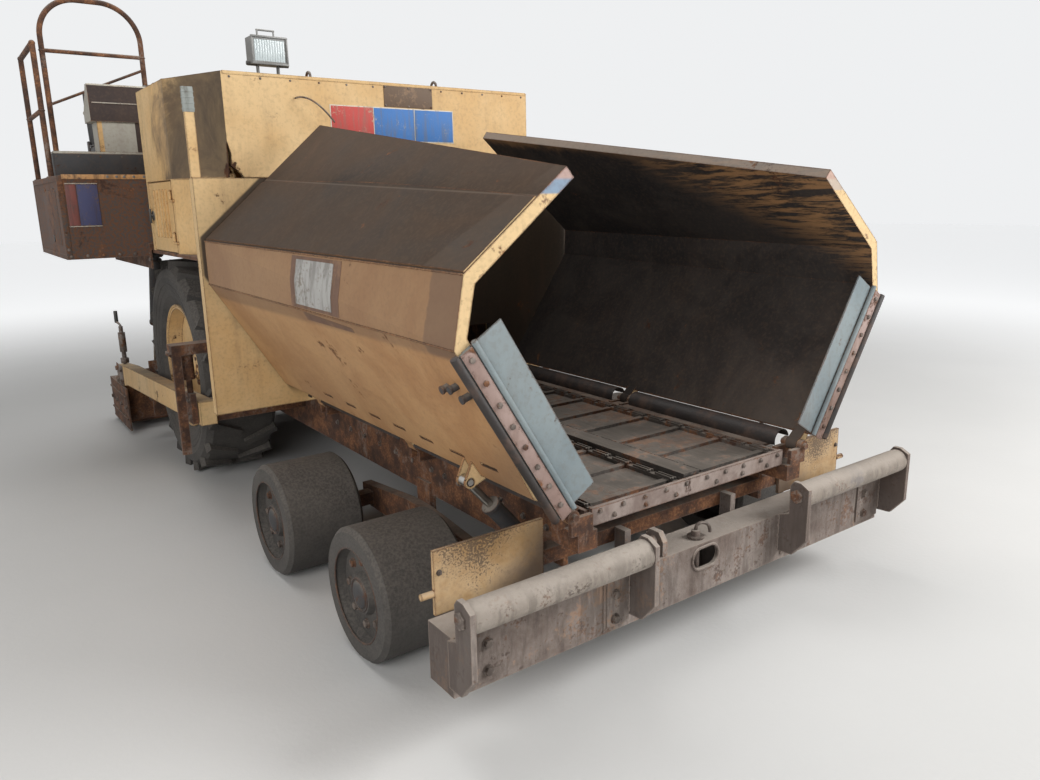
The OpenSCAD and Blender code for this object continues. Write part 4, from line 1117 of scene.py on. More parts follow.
for side, sign in SIDES.items():
    stubs = []
    for y, z, x in ((-48, 1230, 1074), (-100, 1206, 1062), (14, 1218, 1066)):
        inner, outer = (sign * (x - 12), y, z), (sign * (x + 30), y, z - 14)
        stubs.append(rod("stub", inner, outer, 13, 20, 1))
        inner, outer = (sign * (x + 26), y, z - 13), (sign * (x + 33), y, z - 15)
        stubs.append(rod("stub_rim", inner, outer, 15, 20, 1))
    settle(joined(f"wing_pipe_ends_{side}", stubs), f"wing_{side}", "dark_paint", dark_paint)

bend_runs = [
    [on_panel(*MIDDLE, y, share, 0.5) for y in (WING_FRONT + 4, WING_REAR - 4)]
    for share in (0, 1)
]
seam("wing_seams", WINGS, bend_runs, ochre_wing, "ochre_paint", 4)
print("wings dressed")

# %% [markdown]
# Asphalt would fall between the conveyor and the wings, so a curved guard closes the gap.
# It is a part of a pipe about the hinge line, a little smaller than the circle in which
# the wing's inner corner turns, and it is left out where the hinge ears stand.

# %% Hinge guards
HINGE_X, HINGE_Z, GUARD_R = 670, 704, 49
GUARD_FROM, GUARD_TO = 14, 196
GUARD_RUNS = ((-22, 932), (1068, 1992), (2128, 2176))


def guard(y0, y1):
    """A strip bent about the hinge line; its angles are in degrees up from +X."""
    def bent(across, along):
        """A place on the pipe."""
        turn = radians(GUARD_FROM + (GUARD_TO - GUARD_FROM) * across)
        x, z = HINGE_X + GUARD_R * cos(turn), HINGE_Z + GUARD_R * sin(turn)
        return (x, y0 + (y1 - y0) * along, z)

    return thicken(sheet("guard", (28, 12), bent), 4)


guards = joined("hinge_guards", [guard(*run) for run in GUARD_RUNS])
both_sides(guards, "chassis", "rusty_paint", tarred)
print("guards bent at", GUARD_R, "mm")

# %% [markdown]
# The hood's face carries three blank coloured panels, a blank brown plate, and a thin rod
# that stands out bent. Its lid seams are folded strips. Two lifting eyes and a filler cap
# stand on top, and louvres close it behind, where the radiator breathes.

# %% Hood
HOOD_FACE, HOOD_TOP = 2338, 2478
panel_red = label_finish("panel_red", (0.46, 0.055, 0.045), (0.4, 0.27, 0.2), 0.3)
panel_blue = label_finish("panel_blue", (0.045, 0.16, 0.42), (0.28, 0.3, 0.33), 0.3)
panel_pale = label_finish("panel_pale", (0.6, 0.56, 0.47), (0.4, 0.32, 0.22), 0.4)
plate_brown = label_finish("plate_brown", (0.12, 0.075, 0.045), (0.23, 0.14, 0.08), 0.5)
panel_frame = block(
    "hood_panel_frame", (-398, HOOD_FACE - 2.2, 2147), (420, HOOD_FACE + 1, 2341), 1
)
settle(panel_frame, "chassis", "ochre_paint", panel_pale)
for name, x0, x1, finish in (
    ("hood_panel_red", -392, -130, panel_red),
    ("hood_panel_blue_1", -124, 142, panel_blue),
    ("hood_panel_blue_2", 148, 414, panel_blue),
):
    panel = block(name, (x0, HOOD_FACE - 4, 2153), (x1, HOOD_FACE - 1, 2335), 1)
    settle(panel, "chassis", "ochre_paint", finish)
hood_plate = block("hood_plate", (-53, HOOD_FACE - 4, 2345), (273, HOOD_FACE + 1, 2464), 1)
settle(hood_plate, "chassis", "ochre_paint", plate_brown)
bolts(
    "hood_rivets", "chassis", 5, [
        ((-44, HOOD_FACE - 4, 2353), (264, HOOD_FACE - 4, 2353), 3, FORWARD),
        ((-44, HOOD_FACE - 4, 2456), (264, HOOD_FACE - 4, 2456), 3, FORWARD),
        ((-950, HOOD_FACE, 2452), (-120, HOOD_FACE, 2452), 6, FORWARD),
        ((340, HOOD_FACE, 2452), (950, HOOD_FACE, 2452), 5, FORWARD),
    ],
)
bent_path = [
    (-596, 2342, 2363), (-590, 2300, 2368), (-560, 2262, 2362),
    (-510, 2240, 2330), (-455, 2238, 2282), (-412, 2250, 2236),
]
settle(wire("hood_bent_rod", bent_path, 5), "chassis", "worn_steel", bolt_steel)
fold = [
    block("fold", (-985, HOOD_FACE - 3, 2462), (985, HOOD_FACE + 14, HOOD_TOP + 3), 2),
    block("fold", (-1170, 3420, HOOD_TOP - 1), (1170, 3453, HOOD_TOP + 4), 2),
    block("fold", (-6, HOOD_FACE + 10, HOOD_TOP - 1), (26, 3440, HOOD_TOP + 5), 2),
    block("fold", (-1178, 2800, HOOD_TOP - 1), (1178, 2826, HOOD_TOP + 4), 2),
]
settle(joined("hood_folds", fold), "chassis", "ochre_paint", ochre_hood)
top_fittings = []
for x in (-420, 420):
    top_fittings.append(ring("lifting_eye", (x, 2560, HOOD_TOP + 30), OUTWARD, 30, 8, 32))
    low, high = (x - 30, 2520, HOOD_TOP - 1), (x + 30, 2600, HOOD_TOP + 8)
    top_fittings.append(block("eye_foot", low, high, 2))
for kind, low, high, radius, side_shade, edge in (
    ("filler_neck", -1, 26, 48, 32, 2),
    ("filler_cap", 24, 46, 58, 12, 4),
):
    foot, head = (-820, 3180, HOOD_TOP + low), (-820, 3180, HOOD_TOP + high)
    top_fittings.append(rod(kind, foot, head, radius, side_shade, edge))
settle(joined("hood_fittings", top_fittings), "chassis", "worn_steel", bolt_steel)
slats = [block("slat", (-620, 3449, z), (620, 3461, z + 20), 4) for z in range(2010, 2400, 38)]
slats.append(block("slat_frame", (-650, 3448, 1985), (-622, 3460, 2440), 2))
slats.append(block("slat_frame", (622, 3448, 1985), (650, 3460, 2440), 2))
settle(joined("hood_rear_louvres", slats), "chassis", "dark_paint", dark_paint)
print("hood dressed")

# %% [markdown]
# Each side door breathes through five slots. A pressed hood over every slot keeps rain
# out, and a latch with a T handle holds the door's rear edge. They ride on the door.

# %% Side doors
DOOR_FACE = 1180
DOORS = ("hood_door_left", "hood_door_right")
FIRST_SLOT, SLOT_STEP = 2964, 75
louvres = []
for i in range(5):
    y = FIRST_SLOT + SLOT_STEP * i
    louvres.append(block("lip", (DOOR_FACE - 1, y - 9, 1608), (DOOR_FACE + 11, y + 3, 1892), 4))
louvres.append(block("door_edge", (DOOR_FACE - 1, 3384, 1532), (DOOR_FACE + 5, 3402, 1928), 2))
both_sides(joined("door_louvres", louvres), DOORS, "ochre_paint", ochre_hood)
latch = [
    rod("latch_base", (DOOR_FACE - 1, 3352, 1735), (DOOR_FACE + 6, 3352, 1735), 30, 28, 2),
    rod("latch_stem", (DOOR_FACE, 3352, 1735), (DOOR_FACE + 22, 3352, 1735), 9, 16, 1),
    block("latch_bar", (DOOR_FACE + 14, 3340, 1690), (DOOR_FACE + 26, 3364, 1780), 5),
]
both_sides(joined("door_latch", latch), DOORS, "black_plastic", black_plastic)
print("side doors dressed")

# %% [markdown]
# The halogen work lamp is the one bright thing on the hood: a cast housing with fins, a
# dished mirror round a tube, and a ribbed glass in a frame.

# %% Work lamp
LAMP = (-715, 2398, 2478)


def from_foot(x, y, z):
    """A place measured from the lamp's foot."""
    return (LAMP[0] + x, LAMP[1] + y, LAMP[2] + z)


def lamp_part(kind, low, high, edge):
    """A block placed from the lamp's foot."""
    return block(kind, from_foot(*low), from_foot(*high), edge)


fins = [lamp_part("fin", (x, 44, 70), (x + 4, 62, 175), 1) for x in range(-80, 81, 20)]
fins.append(lamp_part("brow", (-100, -58, 184), (100, -44, 194), 2))
fins.append(lamp_part("sill", (-100, -58, 48), (100, -44, 58), 2))
fins += [lamp_part("cheek", (x, -56, 54), (x + 10, -46, 188), 2) for x in (-100, 90)]
settle(joined("lamp_fins", fins), "chassis", "lamp_aluminium", lamp_metal)
mirror = lamp_part("lamp_mirror", (-82, -36, 68), (82, -30.5, 174), 2)
open_mesh(mirror, lambda face: face.normal.y < -0.95 and face.area > 0.001)
bpy.ops.mesh.inset(thickness=0.022, depth=-0.004)
close_mesh()
settle(mirror, "chassis", "rod_chrome", rod_chrome)
tube = rod("lamp_tube", from_foot(-55, -38, 121), from_foot(55, -38, 121), 5, 16, 1)
settle(tube, "chassis", "lamp_aluminium", lamp_glass)
ribs = [
    lamp_part("rib", (x, -48, 66), (x + 13.4, -44, 176), 1.5) for x in range(-84, 84, 14)
]
settle(joined("lamp_lens", ribs), "chassis", "lamp_aluminium", lamp_glass)
knobs = [
    rod("knob", from_foot(sign * 60, 0, 58), from_foot(sign * 116, 0, 58), 12, 10, 2)
    for sign in (-1, 1)
]
settle(joined("lamp_knobs", knobs), "chassis", "black_plastic", black_plastic)
print("lamp dressed")

# %% [markdown]
# The hopper floor is two conveyors, each with its slats between two chains. One chain link
# is a pair of side plates on a roller; a modifier repeats it along the deck.

# %% Conveyor chains
LINKS, LINK_PITCH, CHAIN_TOP = 34, 129, 688
chains = []
for x in (-530, -75, 75, 530):
    link = [
        block("link_plate", (x - 12, -60, CHAIN_TOP - 1), (x - 6, 40, CHAIN_TOP + 10), 0.1),
        block("link_plate", (x + 6, -60, CHAIN_TOP - 1), (x + 12, 40, CHAIN_TOP + 10), 0.1),
        rod("link_roller", (x - 16, -48, CHAIN_TOP + 3), (x + 16, -48, CHAIN_TOP + 3), 7, 6, 0),
    ]
    chains.append(repeat(joined("chain", link), LINKS, (0, LINK_PITCH / 1000, 0)))
conveyor_chains = joined("conveyor_chains", chains)
settle(conveyor_chains, "chassis", "worn_steel", worn_steel)
print("faces in the chains:", len(conveyor_chains.data.polygons))

# %% [markdown]
# The front wheels are wide solid rubber bands pressed on cast discs. Their hubs have eight
# nuts and a domed cap. The rear wheels drive: a big rim with twelve nuts round a geared
# hub, and a valve. Each kind is dressed in a loop over its axles and the two sides.

# %% Wheels
FRONT_WHEELS, FRONT_HEIGHT = ((1, 580), (2, 1560)), 276
REAR_AXLE = (3560, 725)


def hub_cap(name, centre, sign, radius, height):
    """A domed cap: half a ball, pressed flat."""
    take()
    bpy.ops.mesh.primitive_uv_sphere_add(
        segments=32, ring_count=16, radius=radius / 1000, location=(0, 0, 0)
    )
    cap = bpy.context.object
    cap.name = name
    open_mesh(cap)
    bpy.ops.mesh.bisect(
        plane_co=(0, 0, 0), plane_no=(sign, 0, 0), clear_inner=True, use_fill=True
    )
    close_mesh()
    cap.data.transform(Matrix.Diagonal((height / radius, 1, 1, 1)))
    cap.matrix_world = Matrix.Translation(spot(*centre))
    return bake_place(cap)


def on_axle(sign, x):
    """A place on the rear axle, so far out on a side."""
    return (sign * x, *REAR_AXLE)


for index, y in FRONT_WHEELS:
    for side, sign in SIDES.items():
        body = f"front_wheel_{index}_{side}"
        nuts, cap_at, collar_at, band_at = (
            (sign * x, y, FRONT_HEIGHT) for x in (1154, 1179, 1180, 1198)
        )
        bolt_circle(f"front_nuts_{index}_{side}", body, 17, nuts, (sign, 0, 0), 135, 8)
        cap = hub_cap("front_cap", cap_at, sign, 58, 17)
        collar = ring("front_collar", collar_at, OUTWARD, 68, 5, 40)
        band = ring("front_band", band_at, OUTWARD, 194, 4, 72)
        hub = joined(f"front_hub_{index}_{side}", [cap, collar, band])
        settle(hub, body, "dark_paint", dark_paint)

for side, sign in SIDES.items():
    body = f"rear_wheel_{side}"
    bolt_circle(f"rear_nuts_{side}", body, 24, on_axle(sign, 935), (sign, 0, 0), 165, 12)
    bolt_circle(f"rear_hub_bolts_{side}", body, 13, on_axle(sign, 985), (sign, 0, 0), 84, 10)
    hub = [
        hub_cap("rear_cap", on_axle(sign, 984), sign, 62, 34),
        rod("rear_plate", on_axle(sign, 984), on_axle(sign, 989), 102, 48, 1.5),
        ring("rear_flange", on_axle(sign, 1055), OUTWARD, 412, 9, 72),
        ring("rear_bead", on_axle(sign, 940), OUTWARD, 366, 6, 64),
    ]
    settle(joined(f"rear_hub_{side}", hub), body, "ochre_paint", ochre_sheet)
    axle_y, axle_z = REAR_AXLE
    stem_ends = (sign * 938, axle_y, axle_z + 330), (sign * 972, axle_y, axle_z + 352)
    settle(rod("valve", *stem_ends, 6, 12, 1), body, "black_plastic", black_plastic)
    ribs = [
        ring("rib", on_axle(sign, 1096), OUTWARD, 560, 4, 64, 6),
        ring("rib", on_axle(sign, 1088), OUTWARD, 520, 3, 64, 6),
    ]
    settle(joined(f"tyre_ribs_{side}", ribs), body, "tyre_rubber", tyre_rubber)
print("wheels dressed")

# %% [markdown]
# The platform behind the hood is chequered plate: one raised bar, repeated along and across,
# and joined with rows of bars turned the other way. Rear lamps hang below its edge, with
# grips for the ladders between them, and bolts hold its skirt and the chassis's plates.

# %% Platform
FLOOR_TOP, TREAD_STEP = 1560, 82


def bar_grid(name, start, counts, turn):
    """Raised bars laid out in rows over the floor."""
    bar = block(name, (-17, -3.5, -1), (17, 3.5, 2.2), 0)
    bar.data.transform(Matrix.Translation(-spot(0, 0, 0)))
    bar.data.transform(Matrix.Rotation(turn, 4, "Z"))
    bar.data.transform(Matrix.Translation(spot(*start)))
    repeat(bar, counts[0], (TREAD_STEP / 1000, 0, 0))
    return repeat(bar, counts[1], (0, TREAD_STEP / 1000, 0))


tread = [
    bar_grid("tread", (-860, 3520, FLOOR_TOP), (22, 15), radians(45)),
    bar_grid("tread", (-819, 3561, FLOOR_TOP), (21, 14), radians(-45)),
]
settle(joined("floor_tread", tread), "chassis", "rusty_paint", rust_brown)
lamp_red = label_finish("lamp_red", (0.32, 0.02, 0.015), (0.1, 0.03, 0.02), 0.25)
lamp_orange = label_finish("lamp_orange", (0.62, 0.2, 0.02), (0.3, 0.1, 0.03), 0.25)
lamp_body = block("rear_lamp_body", (960, 4699, 1428), (1150, 4716, 1508), 5)
both_sides(lamp_body, "chassis", "black_plastic", black_plastic)
for colour, x0, x1, finish in (("red", 966, 1078, lamp_red), ("orange", 1082, 1144, lamp_orange)):
    lens = block(f"rear_lamp_{colour}", (x0, 4714, 1434), (x1, 4732, 1502), 6)
    both_sides(lens, "chassis", "lamp_aluminium", finish)
steps = []
for x in (275, 575):
    steps.append(rod("ladder_grip", (x, 4718, 1340), (x, 4718, 1538), 9, 16, 2))
    for z in (1352, 1526):
        steps.append(rod("grip_foot", (x, 4690, z), (x, 4718, z), 8, 12, 1))
both_sides(joined("ladder_grips", steps), "chassis", "rusty_paint", rust_brown)
bolts(
    "skirt_bolts", "chassis", 12, [
        ((1200, 3490, 1460), (1200, 3490, 1460), 1, OUTWARD),
        ((640, 4700, 1540), (1170, 4700, 1540), 5, REARWARD),
        ((590, 2320, 1440), (590, 2320, 760), 6, OUTWARD),
        ((590, 120, 560), (590, 420, 560), 3, OUTWARD),
        ((590, 760, 560), (590, 1000, 560), 3, OUTWARD),
        ((590, 1180, 560), (590, 2080, 560), 6, OUTWARD),
    ], mirrored="chassis",
)
print("platform dressed")

# %% [markdown]
# The driver's stands are sheet boxes. The right one's front carries a strip with pale dots
# along its top edge and a blank two-coloured plate. On both, the outer side has a tool
# locker with hinges and a lock, the top has a rubber mat, and strips stiffen the corners.

# %% Driver's stands
plate_blue = label_finish("plate_blue_dull", (0.05, 0.055, 0.13), (0.12, 0.08, 0.07), 0.45)
plate_red = label_finish("plate_red_dull", (0.2, 0.065, 0.055), (0.12, 0.08, 0.07), 0.45)
strip_ochre = label_finish("strip_ochre", (0.5, 0.27, 0.11), (0.1, 0.06, 0.04), 0.45)
for colour, x0, x1, finish in (
    ("blue", -1573, -1456, plate_blue),
    ("red", -1634, -1575, plate_red),
):
    plate = block(f"stand_plate_{colour}", (x0, 3496, 1685), (x1, 3501, 1931), 1)
    settle(plate, "chassis", "rusty_paint", finish)
lines = [block("plate_line", (-1636, 3494, z), (-1454, 3501, z + 6), 1) for z in (1677, 1933)]
settle(joined("stand_plate_lines", lines), "chassis", "console_paint", pale_paint)
strip = block("stand_strip", (-1645, 3493, 1962), (-1000, 3501, 1990), 1.5)
settle(strip, "chassis", "ochre_paint", strip_ochre)
dots = [
    rod("dot", (x, 3494, 1977), (x, 3489, 1977), 8, 14, 1)
    for x in (-1392, -1340, -1296, -1240, -1180, -1136)
]
settle(joined("stand_dots", dots), "chassis", "lamp_aluminium", lamp_metal)
trim = []
for x0, x1 in ((896, 926), (1644, 1674)):
    for y in (3496, 4699):
        trim.append(block("corner", (x0, y, 1500), (x1, y + 5, 1984), 1))
trim += [
    block("edge", (1670, 3500, 1950), (1674, 4700, 1984), 1),
    block("edge", (1670, 3500, 1480), (1674, 4700, 1510), 1),
    block("locker", (1668, 3640, 1560), (1673, 4240, 1900), 2),
    block("locker_hinge", (1669, 3700, 1892), (1676, 3790, 1916), 3),
    block("locker_hinge", (1669, 4090, 1892), (1676, 4180, 1916), 3),
]
both_sides(joined("stand_trim", trim), "chassis", "rusty_paint", rust_stand)
lock = [
    rod("lock", (1668, 3940, 1600), (1676, 3940, 1600), 18, 24, 2),
    block("lock_tab", (1674, 3932, 1578), (1680, 3948, 1622), 2),
]
both_sides(joined("locker_lock", lock), "chassis", "black_plastic", black_plastic)
mat = [block("mat", (925, 4190, 1979), (1600, 4680, 1986), 3)]
mat += [
    block("mat_rib", (935, y, 1984), (1590, y + 12, 1990), 2) for y in range(4200, 4680, 30)
]
both_sides(joined("stand_mat", mat), "chassis", "black_plastic", black_plastic)
rivets = [
    ((920, 3500, 1500), (1650, 3500, 1500), 9, FORWARD),
    ((911, 3496, 1540), (911, 3496, 1940), 6, FORWARD),
    ((1659, 3496, 1540), (1659, 3496, 1640), 2, FORWARD),
    ((940, 4700, 1500), (1640, 4700, 1500), 9, REARWARD),
]
bolts("stand_rivets", "chassis", 8, rivets, mirrored="chassis")
print("stands dressed")

# %% [markdown]
# Each console has round gauges with a bezel and a glass, a row of toggle switches over a
# row of small lights, a key and three levers, all set on its sloping face. A place on the
# slope is given by x and the distance down it, so nothing has to be turned by hand.

# %% Consoles
SLOPE_TOP, SLOPE_END = (4010, 2575), (4180, 2415)
FALL = heading(SLOPE_TOP, SLOPE_END)


def on_slope(x, distance, off):
    """A place on the console's sloping face, or off it along its normal."""
    return (x, *beside(SLOPE_TOP, FALL, distance, off))


bezels, dials, glass, keys = [], [], [], []
for x, size in ((1030, 34), (1115, 34), (1200, 27), (1275, 27)):
    bezels.append(rod("bezel", on_slope(x, 66, -2), on_slope(x, 66, 7), size, 40, 2, size - 4))
    dials.append(rod("dial", on_slope(x, 66, 2), on_slope(x, 66, 8), size - 6, 32, 0.5))
    glass.append(rod("glass", on_slope(x, 66, 7), on_slope(x, 66, 9.5), size - 6, 32, 1))
for x in range(1010, 1340, 42):
    keys.append(rod("switch_foot", on_slope(x, 138, -1), on_slope(x, 138, 6), 11, 6, 1))
    tip = on_slope(x, 138 + (7 if x % 84 else -7), 30)
    keys.append(rod("switch", on_slope(x, 138, 5), tip, 3, 12, 0.8, 4.5))
for x in range(1010, 1340, 60):
    bezels.append(rod("light", on_slope(x, 182, -1), on_slope(x, 182, 7), 9, 20, 2))
keys.append(rod("key_barrel", on_slope(1330, 182, -1), on_slope(1330, 182, 8), 13, 24, 1))
x, y, z = on_slope(1328, 182, 8)
keys.append(block("key", (x, y, z), (x + 4, y + 16, z + 26), 1.5))
levers, grips = [], []
for x, lean in ((915, -14), (945, 6), (975, 12)):
    foot, top = on_slope(x, 60, -2), on_slope(x, 60 + lean, 96)
    levers.append(rod("lever", foot, top, 5, 16, 1))
    levers.append(rod("boot", foot, on_slope(x, 60, 20), 15, 20, 3, 8))
    take()
    bpy.ops.mesh.primitive_uv_sphere_add(
        segments=24, ring_count=12, radius=0.016, location=spot(*top)
    )
    grips.append(bpy.context.object)
console_trim = [
    block("console_rim", (888, 3946, 2568), (1369, 4012, 2579), 3),
    block("console_lip", (886, 4178, 2404), (1371, 4186, 2422), 3),
    block("console_seam", (972, 3942, 2458), (1352, 3948, 2465), 1),
    block("console_seam", (1012, 3942, 2350), (1018, 3948, 2566), 1),
    block("console_band", (928, 3956, 2136), (1612, 3961, 2152), 2),
]
for name, parts, slot, finish in (
    ("console_trim", console_trim, "console_paint", pale_paint),
    ("console_bezels", bezels, "lamp_aluminium", lamp_metal),
    ("console_dials", dials, "black_plastic", black_plastic),
    ("console_glass", glass, "lamp_aluminium", lamp_glass),
    ("console_switches", keys, "black_plastic", black_plastic),
    ("console_levers", levers, "worn_steel", bolt_steel),
    ("console_grips", grips, "black_plastic", black_plastic),
):
    both_sides(joined(name, parts), "chassis", slot, finish)
pedestal_skin = block("pedestal_skin", (927, 3957, 1979), (1613, 4183, 2138), 2)
both_sides(pedestal_skin, "chassis", "black_plastic", dark_paint)
bolts(
    "console_screws", "chassis", 5, [
        (on_slope(905, 16, 0), on_slope(1352, 16, 0), 6, (0, -FALL[1], FALL[0])),
        ((950, 3957, 2120), (1595, 3957, 2120), 6, FORWARD),
        ((950, 3957, 1995), (1595, 3957, 1995), 6, FORWARD),
    ], mirrored="chassis",
)
WHEEL_X, KNOB_X = -1160, -1052
boot = rod("column_boot", (WHEEL_X, 4140, 2345), (WHEEL_X, 4170, 2381), 44, 32, 3, 30)
settle(boot, "chassis", "black_plastic", black_plastic)
knob = [
    rod("turning_knob_stem", (KNOB_X, 4256, 2466), (KNOB_X, 4282, 2497), 5, 12, 1),
    rod("turning_knob", (KNOB_X, 4278, 2492), (KNOB_X, 4304, 2523), 19, 24, 6),
]
settle(joined("turning_knob", knob), "steering_wheel", "black_plastic", black_plastic)
print("consoles dressed, slope", round(degrees(atan2(-FALL[1], FALL[0])), 1), "degrees")

# %% [markdown]
# The seats are vinyl cushions that have been sat on for years. Each starts as a box a
# little smaller than the finished cushion, is remeshed into even squares, and is blown up
# as cloth. The lines where the cover is sewn down are held still, so the channels appear by
# themselves. A limit on how far a point may move keeps every cushion in its place.

# %% Seats
def vinyl(name):
    """Black vinyl, creased, worn and dusty."""
    f = Finish(name)
    creases = f.noise(28, 8, 0.7, warp=1.2)
    wear = f.noise(5, 6, 0.6)
    grain = f.noise(420, 2)
    body = f.mix(wear.over(0.52, 0.15), (0.018, 0.017, 0.017), (0.045, 0.042, 0.039))
    body = f.mix(creases.over(0.62, 0.03) * 0.7, body, (0.2, 0.17, 0.12))
    body = f.mix(f.upward().over(0.6, 0.3) * wear * 0.35, body, DUST)
    return f.done(body, 0.5 + wear * 0.2, grain * 0.4 - creases.over(0.6, 0.05) * 0.5, 0.0008)


seat_vinyl = vinyl("seat_vinyl")
VOXEL, ON_SEAM = 0.009, 0.005  # metres: a square's size, and how near a seam is held
PUFF = 11  # millimetres that a point may move
CLOTH_FRAMES = 16
ALONG_Y, ALONG_Z = 1, 2


def cushion(name, low, high, seams, normal, lean=0.0):
    """A stuffed cushion between two corners, sewn along lines of constant x.

    normal is the axis along which it is thin; its back is held still, and so are its seams.
    """
    piece = block(name, low, high, 16)
    piece.data.remesh_voxel_size = VOXEL
    take(piece)
    bpy.ops.object.voxel_remesh()
    sewn = piece.vertex_groups.new(name="sewn")
    a, b = spot(*low), spot(*high)
    for vertex in piece.data.vertices:
        place = vertex.co
        on_line = any(abs(place.x - x / 1000) < ON_SEAM for x in seams)
        depth = (place[normal] - a[normal]) / (b[normal] - a[normal])
        front = depth > 0.8 if normal == ALONG_Z else depth < 0.2
        back = depth < 0.12 if normal == ALONG_Z else depth > 0.88
        if back or (on_line and front):
            sewn.add([vertex.index], 1.0, "REPLACE")
    rest = [vertex.co.copy() for vertex in piece.data.vertices]
    stuffing = piece.modifiers.new("stuffing", "CLOTH")
    stuffing.settings.quality = 4
    stuffing.settings.use_pressure = True
    stuffing.settings.uniform_pressure_force = 5
    stuffing.settings.effector_weights.gravity = 0
    stuffing.settings.vertex_group_mass = "sewn"
    for number in range(1, CLOTH_FRAMES + 1):
        bpy.context.scene.frame_set(number)
    take(piece)
    bpy.ops.object.modifier_apply(modifier=stuffing.name)
    bpy.context.scene.frame_set(1)
    for vertex, start in zip(piece.data.vertices, rest):
        move = vertex.co - start
        if move.length > PUFF / 1000:
            vertex.co = start + move.normalized() * PUFF / 1000
    if lean:
        foot = spot(0, low[1], low[2])
        turn = Matrix.Translation(foot) @ Matrix.Rotation(lean, 4, "X") @ Matrix.Translation(-foot)
        piece.data.transform(turn)
    return piece


base = cushion(
    "seat_cushion", (972, 4345, 2142), (1288, 4632, 2222), (1030, 1090, 1170, 1230), ALONG_Z
)
back = cushion(
    "seat_back", (980, 4596, 2196), (1280, 4652, 2618), (1040, 1100, 1160, 1220), ALONG_Y,
    lean=radians(-7),
)
PIPING_LOOP = (
    (975, 4350), (1130, 4338), (1285, 4350), (1294, 4490), (1285, 4628), (1130, 4636),
    (975, 4628), (966, 4490), (975, 4350),
)
piping = [wire("piping", [(x, y, z) for x, y in PIPING_LOOP], 3.5) for z in (2150, 2224)]
both_sides(joined("seat_piping", piping), "chassis", "seat_vinyl", black_plastic)
for piece in (base, back):
    for half in both_sides(piece, "chassis", "seat_vinyl", seat_vinyl):
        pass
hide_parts("seats")
frame_parts = [
    block("seat_pan", (965, 4340, 2128), (1295, 4640, 2146), 4),
    block("seat_foot", (1000, 4372, 1980), (1260, 4610, 1996), 3),
    block("seat_rail", (1010, 4360, 2112), (1030, 4620, 2130), 2),
    block("seat_rail", (1230, 4360, 2112), (1250, 4620, 2130), 2),
    block("seat_hinge", (962, 4590, 2140), (972, 4650, 2260), 4),
    block("seat_hinge", (1288, 4590, 2140), (1298, 4650, 2260), 4),
    rod("seat_lever", (1296, 4500, 2120), (1330, 4440, 2118), 5, 12, 1),
]
both_sides(joined("seat_frame", frame_parts), "chassis", "seat_vinyl", dark_paint)
folds = []
for i in range(7):
    z, wide = 1996 + i * 17, 6 * (i % 2)
    low, high = (1022 - wide, 4392 - wide, z), (1238 + wide, 4588 + wide, z + 18)
    folds.append(block("bellows", low, high, 6))
both_sides(joined("seat_bellows", folds), "chassis", "seat_vinyl", black_plastic)

# %% [markdown]
# Rails end in round flanges with three bolts, and their joints are welded. The short
# exhaust has a bolted flange and a lid, and the flat bar on the back wall is taped at its
# upper end.

# %% Rails, exhaust and the flat bar
def flat_circle(centre, radius, turns):
    """Places round an upright pipe, at these turns in radians."""
    x, y, z = centre
    return [(x + radius * cos(a), y + radius * sin(a), z) for a in turns]


flanges, beads, screws = [], [], []
for x, y in ((1640, 3970), (1640, 4660), (950, 4210), (1560, 4210)):
    flanges.append(rod("flange", (x, y, 1979), (x, y, 1988), 29, 32, 2))
    beads.append(ring("bead", (x, y, 1989), UPWARD, 16, 3, 24))
    turns = [2 * pi * k / 3 + 0.5 for k in range(3)]
    screws += alone(flat_circle((x, y, 1988), 21.5, turns), UPWARD)
for y in (3970, 4660):
    beads.append(ring("bead", (1640, y, 2400), UPWARD, 17, 4, 24))
both_sides(joined("rail_flanges", flanges + beads), "chassis", "rusty_paint", rust_brown)
bolts("rail_bolts", "chassis", 5, screws, mirrored="chassis")
right_beads = [ring("bead", (-x, 4210, 2800), UPWARD, 17, 4.5, 24) for x in (950, 1560)]
settle(joined("hoop_beads", right_beads), "chassis", "rusty_paint", rust_brown)
pipe = [
    rod("exhaust_lid", (620, 3230, 2584), (620, 3230, 2590), 51, 40, 2),
    ring("exhaust_band", (620, 3230, 2508), UPWARD, 46, 4, 40),
    rod("lid_hinge", (592, 3284, 2586), (648, 3284, 2586), 7, 16, 1),
]
settle(joined("exhaust_top", pipe), "chassis", "rusty_paint", rust_brown)
flange_places = flat_circle((620, 3230, 2490), 62, (0.7, 2.3, 3.9, 5.4))
bolts("exhaust_bolts", "chassis", 9, alone(flange_places, UPWARD))
tape = [block("tape", (-1235, 2197, 2250), (-1179, 2217, 2371), 3)]
tape += [
    block("tape_turn", (-1237, 2195, z), (-1177, 2219, z + 8), 3) for z in range(2262, 2370, 27)
]
tape_grey = label_finish("tape_grey", (0.27, 0.29, 0.27), (0.17, 0.16, 0.13), 0.4)
settle(joined("bar_tape", tape), "chassis", "console_paint", tape_grey)
print("rails and exhaust dressed")

# %% [markdown]
# Behind, the tow arms carry the screed. Threaded spindles with cranks set its angle, bolted
# covers close its top, and a raised grating runs along the walkway. Lift cylinders have a
# gland where the rod comes out, a port at each end, and round heads on their pins.

